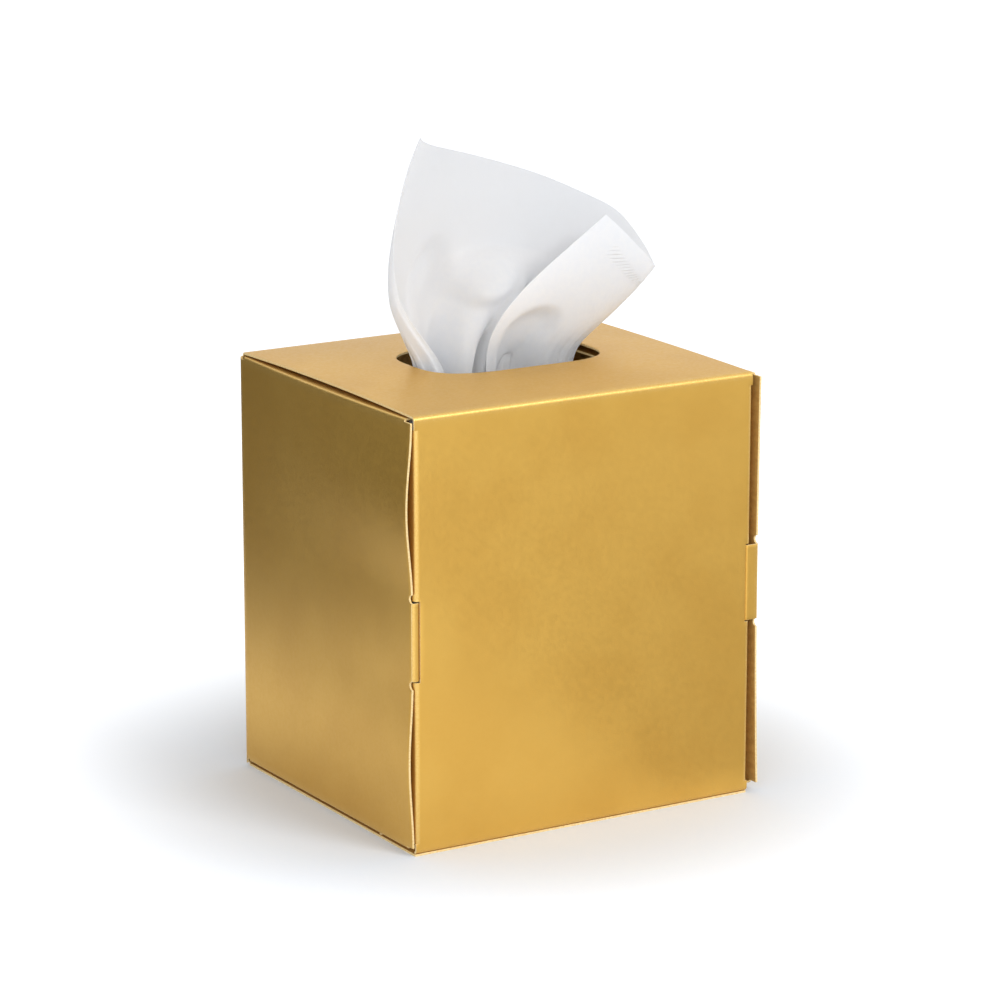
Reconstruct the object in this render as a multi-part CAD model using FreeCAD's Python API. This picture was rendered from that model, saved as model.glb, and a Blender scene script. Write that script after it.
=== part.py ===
"""Tissue box: a carton folded from one card blank, its pile of tissues and the tissue pulled up.

The blank wraps bottom, back, top and front round the pile. Two side flaps hinge on the back
panel's upright folds, slide their dust flaps in under the top and over the bottom, and tuck a
tab behind the front panel. Millimetres, +Z up, the front faces -Y, and the origin is the centre
of the footprint on the surface that the box stands on.
"""
import FreeCAD, Part
import math
import os

from FreeCAD import Vector

# Carton as it stands
CARTON_WIDTH = 110.0
CARTON_DEPTH = 98.7
CARTON_HEIGHT = 124.0
CARD = 0.6
FOLD_RADIUS = 1.2
LAYER_GAP = 0.3
BASE_TRIM = 0.02

# The top bulges upwards, more in the middle than along its cut edges
TOP_RISE_LEFT = 0.8
TOP_RISE_MIDDLE = 2.5
TOP_RISE_RIGHT = 0.4

# Oval opening in the top
OPENING_LENGTH = 57.6
OPENING_WIDTH = 38.2
OPENING_CENTRE_X = 1.3
OPENING_SQUARENESS = 3.2
DUST_FLAP_RELIEF = 0.9

# Flap folded in from the front panel's foot, and its two side flanges
TUCK_DEPTH = 20.0
TUCK_TAPER = 6.0
TUCK_SIDE_CLEARANCE = 1.2
FLANGE_DEPTH = 18.0
FLANGE_SETBACK = 3.7
FLANGE_TAPER = 4.0

# Side flaps
HINGE_GAP = 0.1
FLAP_EDGE_SETBACK = 0.5
DUST_FLAP_REACH = 33.0
DUST_FLAP_FRONT_SETBACK = 3.5
DUST_FLAP_FRONT_TAPER = 5.0
DUST_FLAP_BACK_SETBACK = 1.5
DUST_FLAP_BACK_TAPER = 4.0
FLAP_FOLD_RADIUS = 0.5

# Tab on each side flap, and the slit that takes it
TAB_HEIGHT = 22.0
TAB_TUCKED_LENGTH = 6.5
TAB_TAPER = 1.5
TAB_CLEARANCE = 0.5
TAB_ROOT_RADIUS = 1.2
TAB_ROOT_REACH = 6.0
TAB_TURN_RADIUS = 0.75
TAB_JOG_RADIUS = 0.45
TAB_JOG_OUTSIDE = 1.2
TAB_JOG_INSIDE = 0.2
TAB_CENTRE_LEFT = 61.2
TAB_CENTRE_RIGHT = 62.8
SLIT_INSET = 1.6

# How far the card of each side flap has sprung outwards
LEFT_BULGE_ABOVE_TAB = 1.7
LEFT_BULGE_BELOW_TAB = 1.1
LEFT_TOP_BOW = 1.3
RIGHT_AJAR_AT_TAB = 2.1
RIGHT_AJAR_AT_TOP = 2.5
RIGHT_AJAR_AT_FOOT = 3.2

# Pile of folded tissues
PILE_END_CLEARANCE = 2.5
PILE_FRONT_CLEARANCE = 4.85
PILE_TOP = 98.0
PILE_BUNDLES = 20
PILE_CROWN = 2.0

# Tissue pulled up through the opening: a sheet gathered in the opening that spreads upwards and
# curls to the front at both side edges. It is an oval loop in plan, given in the opening, half
# way up and at the top edge.
TISSUE_THICKNESS = 0.5
TISSUE_SLOT_CLEARANCE = 5.2
TISSUE_CENTRE_X = (1.2, 1.5, 13.2)
TISSUE_CENTRE_Y = (2.0, -2.5, -3.0)
TISSUE_REACH_X = (OPENING_LENGTH / 2 - TISSUE_SLOT_CLEARANCE, 38.5, 38.8)
TISSUE_REACH_Y = (7.5, 9.0, 8.0)
TISSUE_LEFT_EDGE_TURN = (226.0, 186.0, 172.0)
TISSUE_RIGHT_EDGE_TURN = (-108.0, -92.0, -63.0)

# Height of its top edge above the carton, at shares of its width from its left corner
TISSUE_TOP_PLACES = (0, 0.24, 0.365, 0.47, 0.55, 0.66, 0.735, 0.81, 0.9, 1)
TISSUE_TOP_HEIGHTS = (66.0, 59.0, 52.6, 45.5, 40.0, 29.5, 22.5, 22.5, 29.5, 41.1)
TISSUE_SLOT_RISE = 1.5
TISSUE_SLOT_SHARE = 0.26
TISSUE_FOOT_SPREAD = 0.25
TISSUE_SLOT_BEND = 0.12
TISSUE_STATIONS = 44
TISSUE_LEVELS = (0.0, 0.12, 0.22, 0.3, 0.38, 0.47, 0.57, 0.7, 0.85, 1.0)
PLEAT_COUNT = 5
PLEAT_DEPTH = 1.6
PLEAT_FADE = 1.6
PLEAT_START = 0.6
PLEAT_SIDE_SHARE = 0.3
RIDGE_PLACE = (0.305, 0.37, 0.42)
RIDGE_WIDTH = (0.042, 0.06, 0.09)
RIDGE_DEPTH = 12.0
RIDGE_TOP = 0.62

HALF_WIDTH = CARTON_WIDTH / 2
HALF_DEPTH = CARTON_DEPTH / 2
PILE_LENGTH = CARTON_WIDTH - 2 * PILE_END_CLEARANCE
PILE_DEPTH = CARTON_DEPTH - 2 * PILE_FRONT_CLEARANCE
FLAP_INSIDE = HALF_WIDTH + LAYER_GAP
FLAP_OUTSIDE = FLAP_INSIDE + CARD
HINGE_Y = HALF_DEPTH - FOLD_RADIUS
FLAP_FRONT = -HALF_DEPTH + FLAP_EDGE_SETBACK
FLAP_BACK = HINGE_Y - HINGE_GAP
TUCK_BOTTOM = CARD + 0.1
FLAP_BOTTOM = TUCK_BOTTOM + CARD + LAYER_GAP
FLAP_TOP = CARTON_HEIGHT - CARD - LAYER_GAP
PILE_BOTTOM = FLAP_BOTTOM + CARD + LAYER_GAP
BEHIND_FRONT = -HALF_DEPTH + CARD + TAB_CLEARANCE
LEFT, RIGHT = -1, 1
SAME_WAY = 1


def strip_edges(corners, radii, offset):
    """Edges of a path with rounded corners, moved sideways by offset to its left."""
    count = len(corners)
    runs = []
    for first, last in zip(corners, corners[1:]):
        along = (last - first).normalize()
        side = Vector(-along.y, along.x, 0)
        runs.append((along, side))
    ends = []
    for i in range(1, count - 1):
        before, side_before = runs[i - 1]
        after, side_after = runs[i]
        turn = math.atan2(before.cross(after).z, before.dot(after))
        reach = radii[i] * abs(math.tan(turn / 2))
        start = corners[i] - before * reach + side_before * offset
        finish = corners[i] + after * reach + side_after * offset
        centre = corners[i] - before * reach + side_before * math.copysign(radii[i], turn)
        outward = (corners[i] - centre).normalize()
        middle = centre + outward * (radii[i] - offset * math.copysign(1, turn))
        ends.append((start, middle, finish))
    edges = []
    here = corners[0] + runs[0][1] * offset
    for start, middle, finish in ends:
        if (start - here).Length > 1e-6:
            edges.append(Part.LineSegment(here, start).toShape())
        edges.append(Part.Arc(start, middle, finish).toShape())
        here = finish
    last = corners[-1] + runs[-1][1] * offset
    edges.append(Part.LineSegment(here, last).toShape())
    return edges


def card_section(corners, radii, thickness=CARD):
    """Closed outline of card of one thickness that follows a path with rounded corners."""
    left = strip_edges(corners, radii, thickness / 2)
    right = strip_edges(corners, radii, -thickness / 2)
    left_start, left_end = left[0].firstVertex().Point, left[-1].lastVertex().Point
    right_start, right_end = right[0].firstVertex().Point, right[-1].lastVertex().Point
    far_end = Part.LineSegment(left_end, right_end).toShape()
    near_end = Part.LineSegment(right_start, left_start).toShape()
    return Part.Wire(Part.__sortEdges__(left + [far_end] + right + [near_end]))


def box_between(low, high):
    """Box between two opposite corners."""
    size = [abs(b - a) for a, b in zip(low, high)]
    return Part.makeBox(*size, Vector(*[min(a, b) for a, b in zip(low, high)]))


def top_rise(x):
    """Rise of the top panel's middle line at one place across its width."""
    share = (x + HALF_WIDTH) / CARTON_WIDTH
    edge = TOP_RISE_LEFT + (TOP_RISE_RIGHT - TOP_RISE_LEFT) * share
    return edge + (TOP_RISE_MIDDLE - edge) * math.sin(math.pi * share)


def wrap_section(x):
    """Section of the wrap of front, top, back and bottom at one place across the width."""
    mid = CARD / 2
    front, back = -HALF_DEPTH + mid, HALF_DEPTH - mid
    top = CARTON_HEIGHT - mid
    rise = top_rise(x)
    span = 2 * (back - FOLD_RADIUS)
    crown_radius = span ** 2 / (8 * rise)
    fold = FOLD_RADIUS - mid
    path = [
        (front + TUCK_DEPTH, TUCK_BOTTOM + mid),
        (front, TUCK_BOTTOM + mid),
        (front, top),
        (0, top + 2 * rise),
        (back, top),
        (back, mid - BASE_TRIM),
        (-HALF_DEPTH + CARD, mid - BASE_TRIM),
    ]
    section = card_section([Vector(*p) for p in path], [0, fold, fold, crown_radius, fold, fold, 0])
    placed = FreeCAD.Placement(Vector(x, 0, 0), FreeCAD.Rotation(Vector(1, 1, 1), 120))
    section.Placement = placed
    return section


def upright_fold(corner_x, corner_y, toward_x, toward_y, low, high):
    """Quarter round of card in an upright fold whose sharp corner would be at (x, y)."""
    centre = Vector(corner_x + toward_x * FOLD_RADIUS, corner_y + toward_y * FOLD_RADIUS, low)
    height = high - low
    ring = Part.makeCylinder(FOLD_RADIUS, height, centre)
    ring = ring.cut(Part.makeCylinder(FOLD_RADIUS - CARD, height, centre))
    return ring.common(box_between((corner_x, corner_y, low), (centre.x, centre.y, high)))


def opening_wire(extra, z):
    """Oval of the opening, grown by extra all round."""
    length = OPENING_LENGTH / 2 + extra
    width = OPENING_WIDTH / 2 + extra
    steps = 48
    points = []
    for i in range(steps):
        angle = 2 * math.pi * i / steps
        cosine, sine = math.cos(angle), math.sin(angle)
        power = 2 / OPENING_SQUARENESS
        x = OPENING_CENTRE_X + length * math.copysign(abs(cosine) ** power, cosine)
        y = width * math.copysign(abs(sine) ** power, sine)
        points.append(Vector(x, y, z))
    curve = Part.BSplineCurve()
    curve.interpolate(points, PeriodicFlag=True)
    return Part.Wire([curve.toShape()])


def tab_centre(side):
    """Height of the middle of one side's tab."""
    return TAB_CENTRE_LEFT if side == LEFT else TAB_CENTRE_RIGHT


def flange(side):
    """Side flange folded back from the front panel, with its fold and tapered ends."""
    low, high = FLANGE_SETBACK, CARTON_HEIGHT - FLANGE_SETBACK
    inner = side * (HALF_WIDTH - CARD)
    back = -HALF_DEPTH + FLANGE_DEPTH
    start = -HALF_DEPTH + FOLD_RADIUS
    outline = [
        Vector(inner, start, low),
        Vector(inner, back, low + FLANGE_TAPER),
        Vector(inner, back, high - FLANGE_TAPER),
        Vector(inner, start, high),
    ]
    sheet = Part.Face(Part.makePolygon(outline + outline[:1])).extrude(Vector(side * CARD, 0, 0))
    fold = upright_fold(side * HALF_WIDTH, -HALF_DEPTH, -side, 1, low, high)
    return sheet.fuse(fold)


def slit(side):
    """Space of the slit in a front fold that lets the side flap's tab in behind the panel."""
    half = TAB_HEIGHT / 2 + TAB_CLEARANCE
    middle = tab_centre(side)
    back = BEHIND_FRONT + CARD + TAB_CLEARANCE
    edge = side * (HALF_WIDTH - SLIT_INSET)
    return box_between((edge, -HALF_DEPTH - CARD, middle - half), (side * (HALF_WIDTH + CARD), back, middle + half))


def tuck_trim(side):
    """What the blank lacks beside the tuck flap: its side clearance and tapered corner."""
    edge = HALF_WIDTH - TUCK_SIDE_CLEARANCE
    start = -HALF_DEPTH + FOLD_RADIUS
    end = -HALF_DEPTH + TUCK_DEPTH + CARD
    low, high = CARD + 0.05, TUCK_BOTTOM + CARD + 0.1
    outline = [
        Vector(side * (HALF_WIDTH + CARD), start, low),
        Vector(side * edge, start, low),
        Vector(side * (edge - TUCK_TAPER), end, low),
        Vector(side * (HALF_WIDTH + CARD), end, low),
    ]
    return Part.Face(Part.makePolygon(outline + outline[:1])).extrude(Vector(0, 0, high - low))


def carton():
    """The wrap of the blank with its front flanges, back folds, slits and oval opening."""
    stations = [-HALF_WIDTH + CARTON_WIDTH * i / 6 for i in range(7)]
    body = Part.makeLoft([wrap_section(x) for x in stations], True, False)
    low, high = FLANGE_SETBACK, CARTON_HEIGHT - FLANGE_SETBACK
    for side in (LEFT, RIGHT):
        edge = side * HALF_WIDTH
        corner = box_between(
            (edge, -HALF_DEPTH - CARD, low), (edge - side * FOLD_RADIUS, -HALF_DEPTH + FOLD_RADIUS, high)
        )
        back_edge = side * (FLAP_OUTSIDE - FOLD_RADIUS)
        back_trim = box_between(
            (back_edge, HALF_DEPTH - FOLD_RADIUS, -CARD), (edge + side, HALF_DEPTH + CARD, CARTON_HEIGHT + CARD)
        )
        body = body.cut(corner).cut(back_trim)
        body = body.fuse(flange(side))
        body = body.fuse(
            upright_fold(side * FLAP_OUTSIDE, HALF_DEPTH, -side, -1, CARD, CARTON_HEIGHT - FOLD_RADIUS)
        )
        body = body.cut(slit(side)).cut(tuck_trim(side))
    below = box_between((-CARTON_WIDTH, -CARTON_DEPTH, -CARD), (CARTON_WIDTH, CARTON_DEPTH, 0))
    body = body.cut(below)
    hole = Part.Face(opening_wire(0, FLAP_TOP)).extrude(Vector(0, 0, 2 * TOP_RISE_MIDDLE + 3 * CARD))
    return body.cut(hole)


def left_spring(y, z):
    """Outward bulge of the left flap, held in at its tab, its corners and its hinge."""
    forward = (HINGE_Y - y) / CARTON_DEPTH
    tab_low = TAB_CENTRE_LEFT - TAB_HEIGHT / 2
    tab_high = TAB_CENTRE_LEFT + TAB_HEIGHT / 2
    lobe = 0.0
    bow = 0.0
    if z > tab_high:
        share = (z - tab_high) / (FLAP_TOP - tab_high)
        lobe = LEFT_BULGE_ABOVE_TAB * math.sin(math.pi * share) ** 2
        bow = LEFT_TOP_BOW * share ** 2
    elif z < tab_low:
        share = (tab_low - z) / (tab_low - FLAP_BOTTOM)
        lobe = LEFT_BULGE_BELOW_TAB * math.sin(math.pi * share) ** 2
    along = 1 - (2 * y / CARTON_DEPTH) ** 2
    return lobe * forward ** 1.5 + bow * along


def right_spring(y, z):
    """Outward stand of the right flap, which its tab holds at mid height."""
    forward = (HINGE_Y - y) / CARTON_DEPTH
    middle = TAB_CENTRE_RIGHT
    if z > middle:
        extra = (RIGHT_AJAR_AT_TOP - RIGHT_AJAR_AT_TAB) * ((z - middle) / (FLAP_TOP - middle)) ** 2
    else:
        extra = (RIGHT_AJAR_AT_FOOT - RIGHT_AJAR_AT_TAB) * ((middle - z) / (middle - FLAP_BOTTOM)) ** 2
    return (RIGHT_AJAR_AT_TAB + extra) * forward


def flap_outside(side, y, z):
    """Where the outer face of a side flap lies, measured across the box."""
    spring = left_spring if side == LEFT else right_spring
    return side * (FLAP_OUTSIDE + spring(y, z))


def sprung_panel(side):
    """Side panel whose outer face follows the spring of the card."""
    rows, columns = 25, 13
    grid = []
    for i in range(rows):
        z = FLAP_BOTTOM + (FLAP_TOP - FLAP_BOTTOM) * i / (rows - 1)
        row = []
        for j in range(columns):
            y = FLAP_FRONT + (FLAP_BACK - FLAP_FRONT) * j / (columns - 1)
            row.append(Vector(flap_outside(side, y, z), y, z))
        grid.append(row)
    surface = Part.BSplineSurface()
    surface.interpolate(grid)
    return surface.toShape().extrude(Vector(-side * CARD, 0, 0))


def dust_flap(side, low, fold_z):
    """Flap that slides in under the top or over the bottom."""
    inner = HALF_WIDTH - DUST_FLAP_REACH
    front = -HALF_DEPTH + DUST_FLAP_FRONT_SETBACK
    back = HALF_DEPTH - FOLD_RADIUS - DUST_FLAP_BACK_SETBACK
    steps = 12
    fold_line = []
    for i in range(steps + 1):
        y = front + (back - front) * i / steps
        fold_line.append(Vector(flap_outside(side, y, fold_z) - side * CARD / 2, y, low))
    curve = Part.BSplineCurve()
    curve.interpolate(fold_line)
    free = [
        fold_line[-1],
        Vector(side * inner, back - DUST_FLAP_BACK_TAPER, low),
        Vector(side * inner, front + DUST_FLAP_FRONT_TAPER, low),
        fold_line[0],
    ]
    outline = Part.Wire([curve.toShape()] + Part.makePolygon(free).Edges)
    return Part.Face(outline).extrude(Vector(0, 0, CARD))


def tab(side):
    """Tab that turns round the front fold and goes in behind the front panel."""
    middle = tab_centre(side)
    half = TAB_HEIGHT / 2
    root = flap_outside(side, FLAP_FRONT, middle) - side * CARD / 2
    face = -HALF_DEPTH + CARD / 2
    behind = BEHIND_FRONT + CARD / 2
    slit_edge = side * (HALF_WIDTH - SLIT_INSET)
    path = [
        Vector(root, FLAP_FRONT + 2 * CARD, 0),
        Vector(root, face, 0),
        Vector(slit_edge + side * TAB_JOG_OUTSIDE, face, 0),
        Vector(slit_edge - side * TAB_JOG_INSIDE, behind, 0),
        Vector(slit_edge - side * TAB_TUCKED_LENGTH, behind, 0),
    ]
    section = card_section(path, [0, TAB_TURN_RADIUS, TAB_JOG_RADIUS, TAB_JOG_RADIUS, 0])
    strip = Part.Face(section).extrude(Vector(0, 0, 2 * half))
    strip.translate(Vector(0, 0, middle - half))
    for up in (LEFT, RIGHT):
        tip = slit_edge - side * (TAB_TUCKED_LENGTH + CARD)
        outline = [
            Vector(slit_edge, -HALF_DEPTH, middle + up * (half + CARD)),
            Vector(slit_edge - side * CARD, -HALF_DEPTH, middle + up * half),
            Vector(tip, -HALF_DEPTH, middle + up * (half - TAB_TAPER)),
            Vector(tip, -HALF_DEPTH, middle + up * (half + CARD)),
        ]
        corner = Part.Face(Part.makePolygon(outline + outline[:1])).extrude(Vector(0, 4 * CARD, 0))
        strip = strip.cut(corner)
    return strip


def side_flap(side):
    """One side flap: its sprung panel, two dust flaps and the tab."""
    flap = sprung_panel(side)
    relief = Part.Face(opening_wire(DUST_FLAP_RELIEF, FLAP_TOP - 2 * CARD)).extrude(Vector(0, 0, 3 * CARD))
    flap = flap.fuse(dust_flap(side, FLAP_TOP - CARD, FLAP_TOP).cut(relief))
    flap = flap.fuse(dust_flap(side, FLAP_BOTTOM, FLAP_BOTTOM)).removeSplitter()
    folds = []
    for edge in flap.Edges:
        middle = edge.valueAt((edge.FirstParameter + edge.LastParameter) / 2)
        at_fold = min(abs(middle.z - FLAP_TOP), abs(middle.z - FLAP_BOTTOM)) < 0.01
        if at_fold and abs(middle.x - flap_outside(side, middle.y, middle.z)) < 0.01:
            folds.append(edge)
    flap = flap.makeFillet(FLAP_FOLD_RADIUS, folds)
    for up in (LEFT, RIGHT):
        root_z = tab_centre(side) + up * (TAB_HEIGHT / 2 + TAB_ROOT_RADIUS)
        root = Vector(side * HALF_WIDTH, FLAP_FRONT, root_z)
        flap = flap.cut(Part.makeCylinder(TAB_ROOT_RADIUS, TAB_ROOT_REACH, root, Vector(side, 0, 0)))
    return flap.fuse(tab(side)).removeSplitter()


def tissue_pile():
    """Pile of tissues folded into each other, with its folds as rounds at the front and back."""
    pitch = (PILE_TOP - PILE_BOTTOM) / PILE_BUNDLES
    half = PILE_DEPTH / 2
    bulge = pitch / 2
    edges = []
    for side, heights in ((1, range(PILE_BUNDLES)), (-1, reversed(range(PILE_BUNDLES)))):
        for i in heights:
            low = Vector(0, side * half, PILE_BOTTOM + pitch * i)
            high = low + Vector(0, 0, pitch)
            middle = (low + high) / 2 + Vector(0, side * bulge, 0)
            ends = (low, high) if side == 1 else (high, low)
            edges.append(Part.Arc(ends[0], middle, ends[1]).toShape())
        if side == 1:
            crown = Vector(0, 0, PILE_TOP + PILE_CROWN)
            edges.append(Part.Arc(Vector(0, half, PILE_TOP), crown, Vector(0, -half, PILE_TOP)).toShape())
    edges.append(Part.LineSegment(Vector(0, -half, PILE_BOTTOM), Vector(0, half, PILE_BOTTOM)).toShape())
    section = Part.Face(Part.Wire(edges))
    section.translate(Vector(-PILE_LENGTH / 2, 0, 0))
    return section.extrude(Vector(PILE_LENGTH, 0, 0))


def through(values, share):
    """Value at a share of the way along a parabola through three evenly spaced values."""
    low, middle, high = values
    at_low = low * (1 - share) * (1 - 2 * share)
    return at_low + 4 * middle * share * (1 - share) + high * share * (2 * share - 1)


def top_edge_curve():
    """Height of the tissue's top edge above the carton as a curve over its width."""
    curve = Part.BSplineCurve()
    points = [Vector(place, 0, height) for place, height in zip(TISSUE_TOP_PLACES, TISSUE_TOP_HEIGHTS)]
    curve.interpolate(Points=points, Parameters=TISSUE_TOP_PLACES)
    return curve


def tissue_point(place, rise, top_edge):
    """Point of the tissue at a share of its width, and a share of its length from its foot."""
    past_slot = (rise - TISSUE_SLOT_SHARE) / (1 - TISSUE_SLOT_SHARE)
    up = (past_slot + math.hypot(past_slot, TISSUE_SLOT_BEND)) / 2
    below = up - past_slot
    foot = PILE_TOP + PILE_CROWN + 2 * LAYER_GAP
    slot = CARTON_HEIGHT + TISSUE_SLOT_RISE
    inside_share = TISSUE_SLOT_SHARE / (1 - TISSUE_SLOT_SHARE)
    z = slot + (top_edge.value(place).z - TISSUE_SLOT_RISE) * up - (slot - foot) * below / inside_share
    spread = 1 + TISSUE_FOOT_SPREAD * (below / inside_share) ** 2
    turn_left, turn_right = through(TISSUE_LEFT_EDGE_TURN, up), through(TISSUE_RIGHT_EDGE_TURN, up)
    angle = math.radians(turn_left + (turn_right - turn_left) * place)
    pleat = math.sin(2 * math.pi * PLEAT_COUNT * place + PLEAT_START)
    pleat *= PLEAT_DEPTH * max(1 - up, 0) ** PLEAT_FADE
    fade = max(1 - up / RIDGE_TOP, 0)
    ridge = RIDGE_DEPTH * fade ** 2 * (3 - 2 * fade)
    ridge *= math.exp(-((place - through(RIDGE_PLACE, up)) / through(RIDGE_WIDTH, up)) ** 2)
    reach_x = through(TISSUE_REACH_X, up) * spread + PLEAT_SIDE_SHARE * pleat
    reach_y = through(TISSUE_REACH_Y, up) * spread + pleat
    x = through(TISSUE_CENTRE_X, up) + reach_x * math.cos(angle)
    y = through(TISSUE_CENTRE_Y, up) + reach_y * math.sin(angle) - ridge
    return Vector(x, y, z)


def tissue_side(place, rise, top_edge):
    """Unit vector square to the tissue at one of its points."""
    step = 0.001
    ahead, behind = min(place + step, 1), max(place - step, 0)
    above, below = min(rise + step, 1), max(rise - step, 0)
    across = tissue_point(ahead, rise, top_edge) - tissue_point(behind, rise, top_edge)
    upward = tissue_point(place, above, top_edge) - tissue_point(place, below, top_edge)
    return across.cross(upward).normalize()


def flat_pieces(corners):
    """Two flat triangles that fill four corners of the sheet."""
    first, second, third, fourth = corners
    return [Part.Face(Part.makePolygon(loop + loop[:1]))
            for loop in ([first, second, third], [first, third, fourth])]


def pulled_tissue():
    """The pulled-up tissue as one thin folded sheet of small flat facets."""
    top_edge = top_edge_curve()
    stations = [i / TISSUE_STATIONS for i in range(TISSUE_STATIONS + 1)]
    sheets = []
    for offset in (TISSUE_THICKNESS / 2, -TISSUE_THICKNESS / 2):
        sheets.append([[tissue_point(place, rise, top_edge) + tissue_side(place, rise, top_edge) * offset
                        for place in stations] for rise in TISSUE_LEVELS])
    faces = []
    for sheet in sheets:
        for lower, upper in zip(sheet, sheet[1:]):
            for i in range(TISSUE_STATIONS):
                faces += flat_pieces([lower[i], lower[i + 1], upper[i + 1], upper[i]])
    front, back = sheets
    for i in range(TISSUE_STATIONS):
        faces += flat_pieces([front[0][i], back[0][i], back[0][i + 1], front[0][i + 1]])
        faces += flat_pieces([front[-1][i], front[-1][i + 1], back[-1][i + 1], back[-1][i]])
    for j in range(len(TISSUE_LEVELS) - 1):
        faces += flat_pieces([front[j][0], front[j + 1][0], back[j + 1][0], back[j][0]])
        faces += flat_pieces([front[j][-1], back[j][-1], back[j + 1][-1], front[j + 1][-1]])
    shell = Part.makeShell(faces)
    shell.sewShape()
    return Part.makeSolid(shell.Shells[0])


def main():
    """Build every piece and write it to parts/."""
    os.makedirs("parts", exist_ok=True)
    pieces = {
        "carton": carton(),
        "left_side_flap": side_flap(LEFT),
        "right_side_flap": side_flap(RIGHT),
        "tissue_pile": tissue_pile(),
        "pulled_tissue": pulled_tissue(),
    }
    for name, shape in pieces.items():
        shape.exportStep(f"parts/{name}.step")
        print(name, "solids", len(shape.Solids), "valid", shape.isValid(), "volume", round(shape.Volume))


main()
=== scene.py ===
"""A gold card tissue box with a tissue pulled up through its opening.

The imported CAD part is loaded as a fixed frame, and every visible piece is made here around it:
the carton, its two side flaps, the pile of folded tissues and the pulled tissue. Lengths are
metres, +Z is up, the front faces -Y, and the origin is the middle of the footprint.
"""
from __future__ import annotations

import logging
import math
from dataclasses import dataclass, field
from enum import Enum

import bmesh
import bpy
import numpy as np
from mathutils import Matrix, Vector

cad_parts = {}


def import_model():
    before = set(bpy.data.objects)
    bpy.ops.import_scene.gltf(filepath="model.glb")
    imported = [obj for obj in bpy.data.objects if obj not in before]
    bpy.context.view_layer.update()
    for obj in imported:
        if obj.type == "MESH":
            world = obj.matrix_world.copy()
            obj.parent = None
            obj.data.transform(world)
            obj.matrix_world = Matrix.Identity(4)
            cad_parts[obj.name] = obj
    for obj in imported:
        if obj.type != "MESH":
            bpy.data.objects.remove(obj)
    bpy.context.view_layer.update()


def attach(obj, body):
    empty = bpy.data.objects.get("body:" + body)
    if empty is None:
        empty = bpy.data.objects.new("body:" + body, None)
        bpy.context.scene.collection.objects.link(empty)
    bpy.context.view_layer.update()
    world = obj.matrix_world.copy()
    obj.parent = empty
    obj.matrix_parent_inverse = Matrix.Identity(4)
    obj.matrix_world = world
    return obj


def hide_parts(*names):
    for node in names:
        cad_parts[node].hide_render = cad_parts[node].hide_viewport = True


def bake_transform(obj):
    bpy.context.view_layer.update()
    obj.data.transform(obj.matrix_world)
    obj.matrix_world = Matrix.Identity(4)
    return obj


LOG = logging.getLogger("tissue_box")
MM = 0.001
SMALL = 0.01 * MM
SMOOTH_CARD = 38.0
NO_MARKS = np.array([])


class Side(Enum):
    """Left and right of the box, as the sign of X."""

    LEFT = -1
    RIGHT = 1


class Face(Enum):
    """Material slots of a piece of card."""

    PRINT = 0
    BOARD = 1
    RAW_EDGE = 2


@dataclass(frozen=True)
class CartonSizes:
    """Sizes that the card pieces share."""

    width: float = 110.0 * MM
    depth: float = 98.7 * MM
    height: float = 124.0 * MM
    card: float = 0.6 * MM
    fold_radius: float = 1.2 * MM
    layer_gap: float = 0.3 * MM
    rise_left: float = 0.8 * MM
    rise_middle: float = 2.5 * MM
    rise_right: float = 0.4 * MM
    opening_length: float = 57.6 * MM
    opening_width: float = 38.2 * MM
    opening_x: float = 1.3 * MM
    opening_squareness: float = 3.2
    tab_height: float = 22.0 * MM
    tab_left_z: float = 61.2 * MM
    tab_right_z: float = 62.8 * MM
    tab_clearance: float = 0.5 * MM
    slit_inset: float = 1.6 * MM

    @property
    def half_width(self) -> float:
        """Half of the carton's width."""
        return self.width / 2

    @property
    def half_depth(self) -> float:
        """Half of the carton's depth."""
        return self.depth / 2

    @property
    def flap_outside(self) -> float:
        """How far out a flat side flap's outer face lies."""
        return self.half_width + self.layer_gap + self.card

    @property
    def hinge_y(self) -> float:
        """Where the back folds end and the side flaps start."""
        return self.half_depth - self.fold_radius

    @property
    def flap_top(self) -> float:
        """Upper face of the top dust flaps."""
        return self.height - self.card - self.layer_gap

    @property
    def tuck_bottom(self) -> float:
        """Lower face of the tuck flap that lies on the bottom panel."""
        return self.card + 0.1 * MM

    @property
    def flap_bottom(self) -> float:
        """Lower face of the bottom dust flaps."""
        return self.tuck_bottom + self.card + self.layer_gap

    @property
    def behind_front(self) -> float:
        """Outer face of a tab where it lies behind the front panel."""
        return -self.half_depth + self.card + self.tab_clearance

    def tab_z(self, side: Side) -> float:
        """Height of the middle of one side's tab."""
        return self.tab_left_z if side is Side.LEFT else self.tab_right_z

    def top_rise(self, x: float) -> float:
        """Rise of the top panel's middle line.

        Args:
            x: place across the width.

        Returns:
            The rise above the front and back folds.
        """
        share = (x + self.half_width) / self.width
        edge = self.rise_left + (self.rise_right - self.rise_left) * share
        return edge + (self.rise_middle - edge) * math.sin(math.pi * min(max(share, 0.0), 1.0))

    def opening_reach(self, y: float, extra: float) -> float:
        """Half length of the oval opening at one depth.

        Args:
            y: place across the depth.
            extra: growth of the oval all round.

        Returns:
            Half of its length there, or zero outside it.
        """
        share = abs(y) / (self.opening_width / 2 + extra)
        if share >= 1:
            return 0.0
        power = self.opening_squareness
        return (self.opening_length / 2 + extra) * (1 - share ** power) ** (1 / power)


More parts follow.
